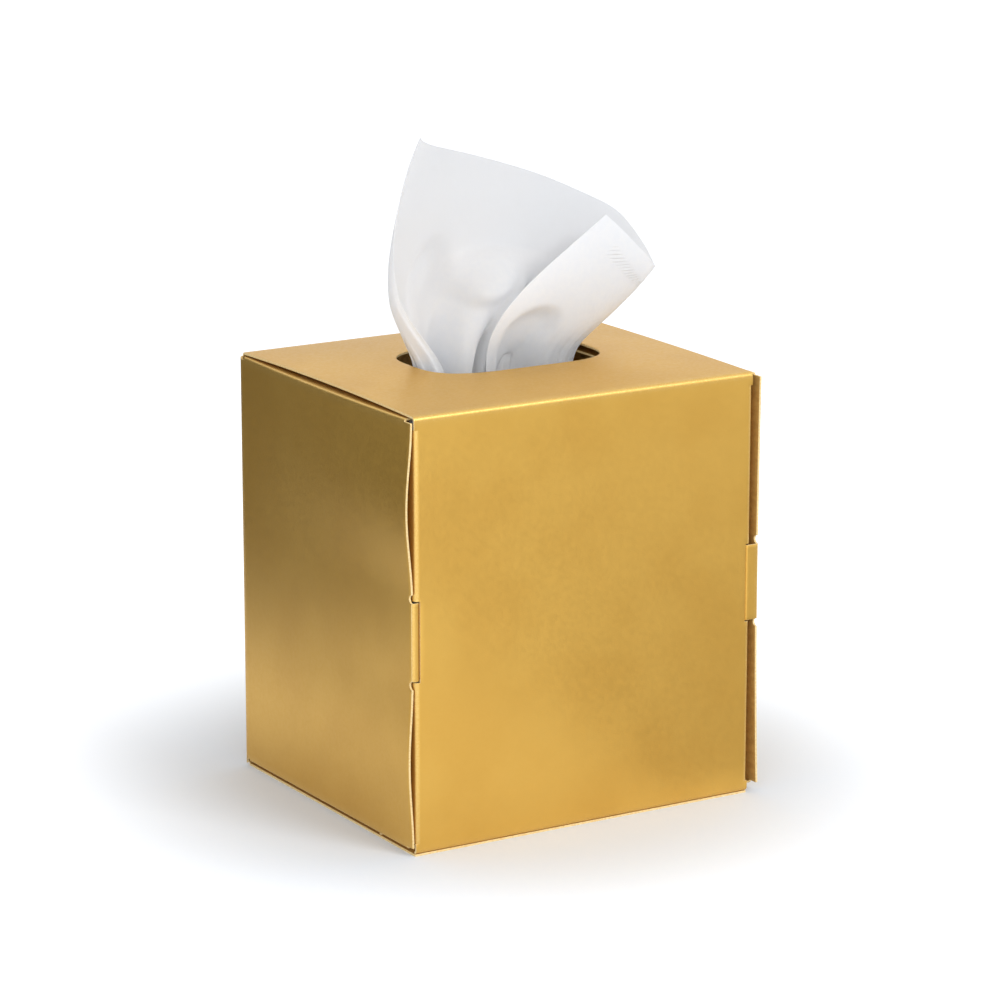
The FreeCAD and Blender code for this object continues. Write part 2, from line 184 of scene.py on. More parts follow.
@dataclass
class CardGrid:
    """Outer and inner face of a folded sheet of card on one grid of points."""

    outer: np.ndarray
    inner: np.ndarray
    keep: np.ndarray
    crease: np.ndarray

    def make(self, name: str) -> bpy.types.Object:
        """Builds the closed sheet with its raw edges.

        Args:
            name: name of the new object.

        Returns:
            The object, its faces numbered for print, board and raw edge.
        """
        rows, columns = self.outer.shape[:2]
        verts = np.concatenate([self.outer.reshape(-1, 3), self.inner.reshape(-1, 3)])
        layer = rows * columns
        faces: list[tuple[int, ...]] = []
        slots: list[int] = []

        def kept(i: int, j: int) -> bool:
            """Whether a cell of the grid is card."""
            return 0 <= i < rows - 1 and 0 <= j < columns - 1 and bool(self.keep[i, j])

        for i in range(rows - 1):
            for j in range(columns - 1):
                if not kept(i, j):
                    continue
                a, b = i * columns + j, i * columns + j + 1
                c, d = (i + 1) * columns + j + 1, (i + 1) * columns + j
                faces.append((a, b, c, d))
                slots.append(Face.PRINT.value)
                faces.append((d + layer, c + layer, b + layer, a + layer))
                slots.append(Face.BOARD.value)
                for p, q, beside in ((a, b, (i - 1, j)), (b, c, (i, j + 1)),
                                     (c, d, (i + 1, j)), (d, a, (i, j - 1))):
                    if not kept(*beside):
                        faces.append((q, p, p + layer, q + layer))
                        slots.append(Face.RAW_EDGE.value)
        obj = new_object(name, verts.tolist(), faces)
        obj.data.polygons.foreach_set("material_index", slots)
        # Share near each fold where the print turns paler: crease wear and a painted highlight on the bend
        wear = obj.data.attributes.new("crease", "FLOAT", "POINT")
        wear.data.foreach_set("value", np.tile(self.crease.ravel(), 2))
        tidy_mesh(obj.data)
        return obj


def new_object(name: str, verts: list, faces: list) -> bpy.types.Object:
    """Makes an object with a mesh of its own.

    Args:
        name: name of both.
        verts: the mesh's points.
        faces: its faces, as numbers of points.

    Returns:
        The object, linked to the scene.
    """
    mesh = bpy.data.meshes.new(name)
    mesh.from_pydata(verts, [], faces)
    obj = bpy.data.objects.new(name, mesh)
    bpy.context.scene.collection.objects.link(obj)
    return obj


def tidy_mesh(mesh: bpy.types.Mesh) -> None:
    """Drops loose points and turns every face outwards.

    Args:
        mesh: a closed mesh, changed in place.
    """
    work = bmesh.new()
    work.from_mesh(mesh)
    loose = [v for v in work.verts if not v.link_faces]
    bmesh.ops.delete(work, geom=loose, context="VERTS")
    bmesh.ops.recalc_face_normals(work, faces=work.faces)
    work.to_mesh(mesh)
    work.free()


def smooth_by_angle(mesh: bpy.types.Mesh, degrees: float) -> None:
    """Shades a mesh smooth, with an edge sharp where its faces meet at more than an angle.

    Args:
        mesh: the mesh, changed in place.
        degrees: the angle.
    """
    limit = math.radians(degrees)
    work = bmesh.new()
    work.from_mesh(mesh)
    for face in work.faces:
        face.smooth = True
    for edge in work.edges:
        edge.smooth = len(edge.link_faces) == 2 and edge.calc_face_angle(0.0) < limit
    work.to_mesh(mesh)
    work.free()


def applied(obj: bpy.types.Object) -> None:
    """Turns an object's modifiers into its mesh.

    Args:
        obj: the object, changed in place.
    """
    graph = bpy.context.evaluated_depsgraph_get()
    mesh = bpy.data.meshes.new_from_object(obj.evaluated_get(graph))
    old = obj.data
    obj.modifiers.clear()
    obj.data = mesh
    mesh.name = old.name
    bpy.data.meshes.remove(old)


def cut_with(obj: bpy.types.Object, verts: list[tuple[float, float, float]], sides: int,
             materials: list[bpy.types.Material]) -> None:
    """Cuts a prism out of a piece of card, with raw edges where it passes.

    Args:
        obj: the piece, changed in place.
        verts: the corners of the prism's one end, then those of its other end.
        sides: number of its sides.
        materials: materials of the piece.
    """
    faces = [(i, (i + 1) % sides, sides + (i + 1) % sides, sides + i) for i in range(sides)]
    faces += [tuple(reversed(range(sides))), tuple(range(sides, 2 * sides))]
    cutter = new_object("cutter", verts, faces)
    mesh = cutter.data
    tidy_mesh(mesh)
    for material in materials:
        mesh.materials.append(material)
    mesh.polygons.foreach_set("material_index", [Face.RAW_EDGE.value] * len(faces))
    cut = obj.modifiers.new("cut", "BOOLEAN")
    cut.operation = "DIFFERENCE"
    cut.solver = "EXACT"
    cut.object = cutter
    applied(obj)
    bpy.data.objects.remove(cutter)
    bpy.data.meshes.remove(mesh)


def thicken(obj: bpy.types.Object, thickness: float) -> None:
    """Turns a surface into a sheet, half of it on each side.

    Args:
        obj: the piece, changed in place.
        thickness: thickness of the sheet.
    """
    thick = obj.modifiers.new("plies", "SOLIDIFY")
    thick.thickness = thickness
    thick.offset = 0.0
    applied(obj)


def soften_edges(obj: bpy.types.Object, width: float, degrees: float = 50.0) -> None:
    """Rounds the cut edges of a piece of card.

    Args:
        obj: the piece.
        width: width of the round.
        degrees: least angle of an edge that is rounded.
    """
    bevel = obj.modifiers.new("cut edges", "BEVEL")
    bevel.width = width
    bevel.segments = 2
    bevel.limit_method = "ANGLE"
    bevel.angle_limit = math.radians(degrees)
    bevel.material = Face.RAW_EDGE.value
    applied(obj)


def rounded_path(corners: list[tuple[float, float]], radii: list[float],
                 marks: list[np.ndarray], arc_steps: int = 8) -> tuple[np.ndarray, np.ndarray]:
    """Samples a path with rounded corners.

    Args:
        corners: the path's corners, its ends included.
        radii: radius at each corner.
        marks: for each run, shares of it between its rounds where a sample goes.
        arc_steps: steps in each round.

    Returns:
        The samples, and the unit normal to the left of the path at each.
    """
    points, normals = [], []
    path = [np.array(c, float) for c in corners]
    runs = [(b - a) / np.linalg.norm(b - a) for a, b in zip(path, path[1:])]
    start = path[0]
    for i, run in enumerate(runs):
        side = np.array([-run[1], run[0]])
        last = i == len(runs) - 1
        if last:
            stop = path[i + 1]
        else:
            after = runs[i + 1]
            turn = math.atan2(run[0] * after[1] - run[1] * after[0], float(run @ after))
            reach = radii[i + 1] * abs(math.tan(turn / 2))
            stop = path[i + 1] - run * reach
        for share in marks[i]:
            points.append(start + (stop - start) * share)
            normals.append(side)
        if last:
            break
        sign = math.copysign(1.0, turn)
        centre = stop + side * sign * radii[i + 1]
        for step in range(0 if 1.0 not in marks[i] else 1, arc_steps + 1):
            angle = turn * step / arc_steps
            cosine, sine = math.cos(angle), math.sin(angle)
            normal = np.array([side[0] * cosine - side[1] * sine,
                               side[0] * sine + side[1] * cosine])
            points.append(centre - normal * sign * radii[i + 1])
            normals.append(normal)
        start = path[i + 1] + runs[i + 1] * reach
    return np.array(points), np.array(normals)


def shares(count: int, first: bool = True, last: bool = True) -> np.ndarray:
    """Even shares of a run.

    Args:
        count: number of steps.
        first: whether the run's start is in.
        last: whether its end is in.

    Returns:
        The shares.
    """
    every = np.linspace(0, 1, count + 1)
    return every[0 if first else 1: None if last else -1]


def near(distance: np.ndarray, width: float) -> np.ndarray:
    """Falls from one at a line to zero away from it.

    Args:
        distance: distance from the line.
        width: distance over which it falls.

    Returns:
        The share there, one on the line.
    """
    return np.exp(-(distance / width) ** 2)


def upright_sheet(points: np.ndarray, normals: np.ndarray, offset: float,
                  heights: np.ndarray) -> np.ndarray:
    """Stands one face of a section of card upright.

    Args:
        points: the section, seen from above.
        normals: its normals.
        offset: how far the face lies from it.
        heights: height of each point, with a row for each level.

    Returns:
        The face's points, level by level.
    """
    face = np.broadcast_to(points + normals * offset, (*heights.shape, 2))
    return np.concatenate([face, heights[:, :, None]], axis=2)


def add_node(tree: bpy.types.NodeTree, kind: str, inputs: dict, **settings: object) -> bpy.types.Node:
    """Adds a node to a tree.

    Args:
        tree: the tree.
        kind: type of the node.
        inputs: what goes into its sockets, by name or number, each another socket or a value.
        settings: its properties.

    Returns:
        The node.
    """
    node = tree.nodes.new(kind)
    for key, value in settings.items():
        setattr(node, key, value)
    for key, value in inputs.items():
        if isinstance(value, bpy.types.NodeSocket):
            tree.links.new(value, node.inputs[key])
        else:
            node.inputs[key].default_value = value
    return node


class Nodes:
    """Short ways to add nodes to one material."""

    def __init__(self, name: str) -> None:
        """Starts a material that has a principled surface."""
        self.material = bpy.data.materials.new(name)
        self.material.use_nodes = True
        self.tree = self.material.node_tree
        self.surface = self.tree.nodes["Principled BSDF"]
        self.place = self.tree.nodes.new("ShaderNodeTexCoord").outputs["Object"]

    def noise(self, scale: float, detail: float = 2.0, rough: float = 0.5,
              stretch: tuple[float, float, float] = (1, 1, 1)) -> bpy.types.NodeSocket:
        """Adds a noise over the piece.

        Args:
            scale: waves in a metre.
            detail: octaves.
            rough: share of the finer octaves.
            stretch: scale along each axis.

        Returns:
            The noise's value.
        """
        mapping = add_node(self.tree, "ShaderNodeMapping", {"Vector": self.place, "Scale": stretch})
        inputs = {"Vector": mapping.outputs["Vector"], "Scale": scale, "Detail": detail, "Roughness": rough}
        return add_node(self.tree, "ShaderNodeTexNoise", inputs).outputs["Fac"]

    def attribute(self, name: str) -> bpy.types.NodeSocket:
        """Reads a number kept on the mesh's points."""
        return add_node(self.tree, "ShaderNodeAttribute", {}, attribute_name=name).outputs["Fac"]

    def spread(self, value: bpy.types.NodeSocket, low: float, high: float,
               to_low: float = 0.0, to_high: float = 1.0) -> bpy.types.NodeSocket:
        """Maps a range of a value to another, smoothly and clamped."""
        inputs = {"Value": value, "From Min": low, "From Max": high, "To Min": to_low, "To Max": to_high}
        node = add_node(self.tree, "ShaderNodeMapRange", inputs, interpolation_type="SMOOTHSTEP")
        return node.outputs["Result"]

    def window(self, value: bpy.types.NodeSocket,
               edges: tuple[float, float, float, float]) -> bpy.types.NodeSocket:
        """Gives one between the inner two of four edges, and zero outside the outer two."""
        return self.math("MULTIPLY", self.spread(value, *edges[:2]),
                         self.spread(value, *edges[2:], 1.0, 0.0))

    def mix(self, share: bpy.types.NodeSocket, first: object, second: object) -> bpy.types.NodeSocket:
        """Mixes two colours, each a socket or red, green and blue."""
        node = add_node(self.tree, "ShaderNodeMix", {"Factor": share}, data_type="RGBA")
        for key, colour in (("A", first), ("B", second)):
            socket = [s for s in node.inputs if s.name == key and s.type == "RGBA"][0]
            if isinstance(colour, bpy.types.NodeSocket):
                self.tree.links.new(colour, socket)
            else:
                socket.default_value = (*colour, 1.0)
        return [s for s in node.outputs if s.type == "RGBA"][0]

    def math(self, operation: str, first: object, second: object) -> bpy.types.NodeSocket:
        """Combines two numbers, each a socket or a plain number."""
        return add_node(self.tree, "ShaderNodeMath", {0: first, 1: second}, operation=operation).outputs[0]

    def bump(self, height: bpy.types.NodeSocket, distance: float,
             under: bpy.types.NodeSocket | None = None) -> bpy.types.NodeSocket:
        """Adds relief to the surface, over another relief if one is given."""
        inputs = {"Height": height, "Distance": distance}
        if under is not None:
            inputs["Normal"] = under
        return add_node(self.tree, "ShaderNodeBump", inputs).outputs["Normal"]

    def wear(self, socket: str, value: bpy.types.NodeSocket) -> None:
        """Links a value to a socket of the surface."""
        self.tree.links.new(value, self.surface.inputs[socket])


def linear(red: int, green: int, blue: int) -> tuple[float, float, float]:
    """Turns a colour of a screen, 0 to 255, into scene light."""
    def channel(value: int) -> float:
        """One channel of it."""
        share = value / 255
        return share / 12.92 if share <= 0.04045 else ((share + 0.055) / 1.055) ** 2.4
    return channel(red), channel(green), channel(blue)


@dataclass(frozen=True)
class GoldPrint:
    """Satin gold print on card, a little clouded, with a paler line where it is creased: partly crease wear
    and partly a painted highlight along each fold.
    """

    gold: tuple[int, int, int] = (221, 175, 82)
    deep: tuple[int, int, int] = (216, 169, 77)
    # Pale gold at the folds: crease wear and a painted highlight
    crease_wear_and_highlight: tuple[int, int, int] = (240, 206, 130)
    metallic: float = 0.72
    roughness: float = 0.4
    cloud_waves: float = 38.0
    wear_waves: float = 2200.0
    grain_waves: float = 900.0
    swell_waves: float = 14.0
    swell_height: float = 0.25 * MM
    grain_height: float = 0.012 * MM

    def make(self) -> bpy.types.Material:
        """Builds the material."""
        nodes = Nodes("gold_print")
        cloud = nodes.spread(nodes.noise(self.cloud_waves, 3.0, 0.55), 0.35, 0.68)
        colour = nodes.mix(cloud, linear(*self.gold), linear(*self.deep))
        # Paler colour at the folds, partly crease wear and partly a painted highlight where the bend catches
        # the light
        fine = nodes.spread(nodes.noise(self.wear_waves, 2.0, 0.6), 0.35, 0.7, 0.3, 0.8)
        crease_wear_and_highlight = nodes.math("MULTIPLY", nodes.attribute("crease"), fine)
        nodes.wear("Base Color", nodes.mix(crease_wear_and_highlight, colour, linear(*self.crease_wear_and_highlight)))
        nodes.surface.inputs["Metallic"].default_value = self.metallic
        grain = nodes.noise(self.grain_waves, 3.0, 0.6)
        nodes.wear("Roughness", nodes.spread(grain, 0.3, 0.7, self.roughness - 0.04, self.roughness + 0.05))
        swell = nodes.bump(nodes.noise(self.swell_waves, 1.0, 0.4), self.swell_height)
        nodes.wear("Normal", nodes.bump(grain, self.grain_height, swell))
        return nodes.material


@dataclass(frozen=True)
class Fibres:
    """Bare card with short fibres."""

    name: str
    pale: tuple[int, int, int]
    dark: tuple[int, int, int]
    waves: float
    detail: float
    rough: float
    contrast: tuple[float, float]
    height: float
    stretch: tuple[float, float, float] = (1.0, 1.0, 1.0)
    roughness: float = 0.7

    def make(self) -> bpy.types.Material:
        """Builds the material."""
        nodes = Nodes(self.name)
        fibres = nodes.noise(self.waves, self.detail, self.rough, self.stretch)
        share = nodes.spread(fibres, *self.contrast)
        nodes.wear("Base Color", nodes.mix(share, linear(*self.pale), linear(*self.dark)))
        nodes.surface.inputs["Roughness"].default_value = self.roughness
        nodes.wear("Normal", nodes.bump(fibres, self.height))
        return nodes.material


# The uncoated back of the card, and its cut edge with a breath of the print's colour
BARE_BOARD = Fibres("bare_board", (212, 168, 92), (196, 151, 78), 700.0, 4.0, 0.65, (0.35, 0.65),
                    0.02 * MM, (1.0, 0.35, 1.0))
RAW_EDGE = Fibres("raw_card_edge", (252, 226, 168), (236, 200, 130), 1800.0, 3.0, 0.6, (0.35, 0.7),
                  0.03 * MM)


@dataclass(frozen=True)
class TissuePaper:
    """Soft white tissue with fine crepe lines and fibres; on the pulled sheet it has painted light and shade,
    greyer where the sheet is shaded and whiter where it is lit.
    """

    name: str = "tissue_paper"
    white: tuple[int, int, int] = (252, 253, 255)
    shade: tuple[int, int, int] = (248, 250, 254)
    # Grey of the painted shade on the shaded upper sheet
    painted_shade: tuple[int, int, int] = (236, 238, 242)
    crepe: float = 1400.0
    see_through: float = 0.6
    crimps_and_painted_light: bool = False
    crimp_lines: float = 75.0
    crimp_slant: float = 45.0
    crimp_tilt: float = 0.45
    crimp_row: tuple[float, float, float, float] = (0.47, 0.482, 0.515, 0.53)
    crimp_run: tuple[float, float, float, float] = (0.79, 0.8, 0.94, 0.95)
    crimp_height: float = 0.13 * MM
    fibre_waves: float = 420.0
    fibre_height: float = 0.03 * MM
    crepe_height: float = 0.04 * MM

    def make(self) -> bpy.types.Material:
        """Builds the material."""
        nodes = Nodes(self.name)
        fibres = nodes.noise(self.fibre_waves, 4.0, 0.65)
        colour = nodes.mix(nodes.spread(fibres, 0.3, 0.7), linear(*self.white), linear(*self.shade))
        # Painted light and shade on the pulled sheet: painted shade grey away from the ridge, shelf, curl and
        # left edge, and white on them as a painted highlight
        if self.crimps_and_painted_light:
            colour = nodes.mix(nodes.attribute("bunched"), linear(*self.painted_shade), colour)
        nodes.wear("Base Color", colour)
        for key, value in (("Roughness", 0.9), ("Specular IOR Level", 0.15), ("Sheen Weight", 0.15),
                           ("Subsurface Weight", self.see_through), ("Subsurface Scale", 1.0),
                           ("Subsurface Radius", (4 * MM, 4 * MM, 4 * MM))):
            nodes.surface.inputs[key].default_value = value
        crepe = nodes.noise(self.crepe, 2.0, 0.5, (1.0, 1.0, 0.35))
        relief = nodes.bump(crepe, self.crepe_height, nodes.bump(fibres, self.fibre_height))
        if self.crimps_and_painted_light:
            relief = nodes.bump(self.crimp(nodes), self.crimp_height, relief)
        nodes.wear("Normal", relief)
        return nodes.material

    def crimp(self, nodes: Nodes) -> bpy.types.NodeSocket:
        """Short slanted lines that press the two plies together beside the top edge."""
        across, along = nodes.attribute("across"), nodes.attribute("along")
        slanted = nodes.math("ADD", nodes.math("MULTIPLY", across, self.crimp_lines),
                             nodes.math("MULTIPLY", along, self.crimp_slant))
        line = nodes.spread(nodes.math("PINGPONG", slanted, 0.5), 0.0, 0.2, 1.0, 0.0)
        level = nodes.math("SUBTRACT", along, nodes.math("MULTIPLY", across, self.crimp_tilt))
        area = nodes.math("MULTIPLY", nodes.window(level, self.crimp_row),
                          nodes.window(across, self.crimp_run))
        return nodes.math("MULTIPLY", line, area)


@dataclass
class CardFinish:
    """The three faces of the gold card."""

    slot: str = "gold_card"
    materials: list[bpy.types.Material] = field(default_factory=list)

    def __post_init__(self) -> None:
        """Makes the materials once for all pieces of card."""
        self.materials = [GoldPrint().make(), BARE_BOARD.make(), RAW_EDGE.make()]

    def dress(self, obj: bpy.types.Object) -> None:
        """Gives a piece of card the materials of its three faces."""
        for material in self.materials:
            obj.data.materials.append(material)


@dataclass
class Carton:
    """The wrap of the blank: tuck, front, top, back and bottom, with flanges and back folds."""

    sizes: CartonSizes
    finish: CardFinish
    tuck_depth: float = 20.0 * MM
    tuck_taper: float = 6.0 * MM
    tuck_side_clearance: float = 1.2 * MM
    flange_depth: float = 18.0 * MM
    flange_setback: float = 3.7 * MM
    flange_taper: float = 4.0 * MM
    crease_width: float = 1.3 * MM
    slit_depth: float = 2.6 * MM
    row_step: float = 4 * MM
    crown_steps: int = 40
    opening_steps: int = 144
    edge_round: float = 0.09 * MM

    def slit_span(self, side: Side) -> tuple[float, float]:
        """Lower and upper end of one front fold's slit."""
        half = self.sizes.tab_height / 2 + self.sizes.tab_clearance
        middle = self.sizes.tab_z(side)
        return middle - half, middle + half

    def front_marks(self) -> np.ndarray:
        """Heights on the front panel where a row of the mesh goes."""
        s = self.sizes
        stops = {self.flange_setback, s.height - self.flange_setback}
        for side in Side:
            stops.update(self.slit_span(side))
        low, high = s.tuck_bottom + s.fold_radius, s.height - s.fold_radius
        even = [z for z in np.arange(low, high, self.row_step)
                if min(abs(z - stop) for stop in stops) > 1 * MM]
        return np.array(sorted({low, high, *stops, *even}))

    def columns(self) -> np.ndarray:
        """Places across the width where a column of the mesh goes."""
        s = self.sizes
        outer = [s.half_width, s.flap_outside - s.fold_radius, s.half_width - s.fold_radius,
                 s.half_width - s.slit_inset]
        inner = s.half_width - 3 * MM
        middle = np.linspace(-inner, inner, 56)
        return np.array([-x for x in outer] + list(middle) + outer[::-1])

    def wrap(self) -> bpy.types.Object:
        """Builds the band that goes round the pile."""
        s = self.sizes
        mid = s.card / 2
        front, back = -s.half_depth + mid, s.half_depth - mid
        base, top = s.tuck_bottom + mid, s.height - mid
        fold = s.fold_radius - mid
        radii = [0, fold, fold, 0]
        heights = self.front_marks()
        columns = self.columns()
        outer, inner = [], []
        for x in columns:
            rise = s.top_rise(x)
            peak = (0.0, top + 2 * rise)
            front_reach = fold * math.tan((math.pi / 2 - math.atan2(2 * rise, back)) / 2)
            run_low, run_high = base + fold, top - front_reach
            in_front = np.clip((heights - run_low) / (run_high - run_low), 0, 1)
            lead = rounded_path([(front + self.tuck_depth, base), (front, base), (front, top), peak],
                                radii, [shares(6, last=False), in_front, NO_MARKS])
            tail = rounded_path([peak, (back, top), (back, mid), (-s.half_depth + s.card, mid)],
                                radii, [NO_MARKS, shares(20, first=False), shares(16, first=False)])
            points, normals = self.crowned(lead, tail, (peak[1] - lead[0][-1][1]) / 2)
            place = np.full((len(points), 1), x)
            outer.append(np.hstack([place, points + normals * mid]))
            inner.append(np.hstack([place, points - normals * mid]))
        outer_grid = np.array(outer).transpose(1, 0, 2)
        inner_grid = np.array(inner).transpose(1, 0, 2)
        keep = self.wrap_keep(outer_grid, columns)
        crease = self.wrap_crease(outer_grid)
        self.trim_tuck(outer_grid, inner_grid)
        return CardGrid(outer_grid, inner_grid, keep, crease).make("carton_wrap")

    def crowned(self, lead: tuple[np.ndarray, np.ndarray], tail: tuple[np.ndarray, np.ndarray],
                rise: float) -> tuple[np.ndarray, np.ndarray]:
        """Joins two runs of the wrap's section by the top panel's crown.

        Args:
            lead: points and normals up to the front fold's end.
            tail: points and normals from the back fold's start.
            rise: rise of the crown above them.

        Returns:
            The points and normals of the whole section.
        """
        (start_y, start_z), half = lead[0][-1], tail[0][0][0]
        ys = np.linspace(start_y, half, self.crown_steps + 1)[1:-1]
        slopes = -2 * rise * ys / half ** 2
        points = np.column_stack([ys, start_z + rise * (1 - (ys / half) ** 2)])
        normals = np.column_stack([-slopes, np.ones_like(ys)]) / np.hypot(slopes, 1)[:, None]
        sign = 1.0 if lead[1][-1][1] > 0 else -1.0
        return np.vstack([lead[0], points, tail[0]]), np.vstack([lead[1], sign * normals, tail[1]])

    def wrap_keep(self, outer: np.ndarray, columns: np.ndarray) -> np.ndarray:
        """Which cells of the wrap are card."""
        s = self.sizes
        here = (outer[:-1, :-1] + outer[1:, :-1]) / 2
        y, z = here[:, :, 1], here[:, :, 2]
        x = (columns[:-1] + columns[1:]) / 2
        out = np.abs(x)
        (left_low, left_high), (right_low, right_high) = (self.slit_span(side) for side in Side)
        low, high = np.where(x < 0, left_low, right_low), np.where(x < 0, left_high, right_high)
        beside_flange = ((y < -s.half_depth + SMALL + s.card / 2) & (out > s.half_width - s.fold_radius)
                         & (z > self.flange_setback) & (z < s.height - self.flange_setback))
        slit = (y < 0) & (out > s.half_width - s.slit_inset) & (z > low) & (z < high)
        beside_fold = (y > s.half_depth - s.fold_radius) & (out > s.flap_outside - s.fold_radius)
        return ~(beside_flange | slit | beside_fold)

    def wrap_crease(self, outer: np.ndarray) -> np.ndarray:
        """How near each point of the wrap is to its folds, where the print is painted paler: crease wear and
        a painted highlight.
        """
        s = self.sizes
        y, z = outer[:, :, 1], outer[:, :, 2]
        return sum(near(np.hypot(y - fold_y, z - fold_z), self.crease_width)
                   for fold_y in (-s.half_depth, s.half_depth) for fold_z in (s.height, 0.0))

    def trim_tuck(self, outer: np.ndarray, inner: np.ndarray) -> None:
        """Narrows the tuck flap towards its end, in place."""
        s = self.sizes
        for grid in (outer, inner):
            for row in grid:
                y, z = row[0][1], row[0][2]
                if not s.tuck_bottom - SMALL <= z <= s.tuck_bottom + 1.5 * s.card:
                    continue
                if not s.fold_radius - SMALL <= y + s.half_depth <= self.tuck_depth + SMALL:
                    continue
                share = (y + s.half_depth - s.fold_radius) / (self.tuck_depth - s.fold_radius)
                edge = s.half_width - self.tuck_side_clearance - self.tuck_taper * share
                row[:, 0] *= edge / s.half_width

    def flange(self, side: Side) -> bpy.types.Object:
        """Builds one flange behind the front panel's upright fold."""
        s = self.sizes
        mid = s.card / 2
        sign = side.value
        edge = sign * (s.half_width - mid)
        front = -s.half_depth + mid
        path = [(sign * (s.half_width - s.fold_radius), front), (edge, front),
                (edge, -s.half_depth + self.flange_depth)]
        marks = [np.array([0.0]), np.array([0.12, *shares(8, first=False)])]
        points, normals = rounded_path(path, [0, s.fold_radius - mid, 0], marks, 10)
        if sign > 0:
            normals = -normals
        low, high = self.flange_setback, s.height - self.flange_setback
        stops = list(self.slit_span(side))
        even = [z for z in np.linspace(low, high, 34) if min(abs(z - stop) for stop in stops) > 1 * MM]
        levels = np.array(sorted(stops + even))
        middle = (low + high) / 2
        past_fold = np.maximum(points[:, 1] + s.half_depth - s.fold_radius, 0)
        share = past_fold / (self.flange_depth - s.fold_radius)
        taper = np.ones((len(levels), len(points)))
        taper[[0, -1]] = 1 - self.flange_taper * share / (high - middle)
        heights = middle + (levels[:, None] - middle) * taper
        centres = (levels[:-1] + levels[1:]) / 2
        in_slit = (centres > stops[0]) & (centres < stops[1])
        at_front = (points[:-1, 1] + points[1:, 1]) / 2 < -s.half_depth + self.slit_depth
        outer, inner = (upright_sheet(points, normals, offset, heights) for offset in (mid, -mid))
        corner = np.hypot(outer[:, :, 0] - sign * s.half_width, outer[:, :, 1] + s.half_depth)
        grid = CardGrid(outer, inner, ~(in_slit[:, None] & at_front), near(corner, self.crease_width))
        return grid.make(f"flange_{side.name.lower()}")

    def back_fold(self, side: Side) -> bpy.types.Object:
        """Builds the upright fold between the back panel and one side flap."""
        s = self.sizes
        mid = s.card / 2
        sign = side.value
        edge = sign * (s.flap_outside - mid)
        back = s.half_depth - mid
        path = [(sign * (s.flap_outside - s.fold_radius), back), (edge, back), (edge, s.hinge_y)]
        marks = [np.array([0.0]), np.array([1.0])]
        points, normals = rounded_path(path, [0, s.fold_radius - mid, 0], marks, 10)
        points[-1][1] = min(points[-1][1], s.hinge_y)
        if sign < 0:
            normals = -normals
        levels = np.linspace(s.card + 0.3 * MM, s.height - s.fold_radius, 50)
        heights = np.repeat(levels[:, None], len(points), axis=1)
        outer, inner = (upright_sheet(points, normals, offset, heights) for offset in (mid, -mid))
        corner = np.hypot(outer[:, :, 0] - sign * s.flap_outside, outer[:, :, 1] - s.half_depth)
        keep = np.ones((len(levels) - 1, len(points) - 1), bool)
        grid = CardGrid(outer, inner, keep, near(corner, self.crease_width))
        return grid.make(f"back_fold_{side.name.lower()}")

    def cut_opening(self, wrap: bpy.types.Object) -> None:
        """Cuts the oval opening out of the top.

        Args:
            wrap: the band of card, changed in place.
        """
        s = self.sizes
        steps = self.opening_steps
        power = 2 / s.opening_squareness
        rim = []
        for i in range(steps):
            angle = 2 * math.pi * i / steps
            cosine, sine = math.cos(angle), math.sin(angle)
            rim.append((s.opening_x + s.opening_length / 2 * math.copysign(abs(cosine) ** power, cosine),
                        s.opening_width / 2 * math.copysign(abs(sine) ** power, sine)))
        low, high = s.flap_top + 0.1 * MM, s.height + 6 * MM
        verts = [(x, y, low) for x, y in rim] + [(x, y, high) for x, y in rim]
        cut_with(wrap, verts, steps, self.finish.materials)

    def make(self) -> list[bpy.types.Object]:
        """Builds and dresses the carton.

        Returns:
            Its pieces.
        """
        wrap = self.wrap()
        self.finish.dress(wrap)
        self.cut_opening(wrap)
        soften_edges(wrap, self.edge_round)
        pieces = [wrap]
        for side in Side:
            pieces.append(self.flange(side))
            self.finish.dress(pieces[-1])
        for piece in pieces:
            smooth_by_angle(piece.data, SMOOTH_CARD)
            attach(piece, "carton")
        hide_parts("carton")
        for side in Side:
            fold = self.back_fold(side)
            self.finish.dress(fold)
            smooth_by_angle(fold.data, SMOOTH_CARD)
            f"{side.name.lower()}_side_flap"
            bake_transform(fold)
            pieces.append(fold)
        return pieces


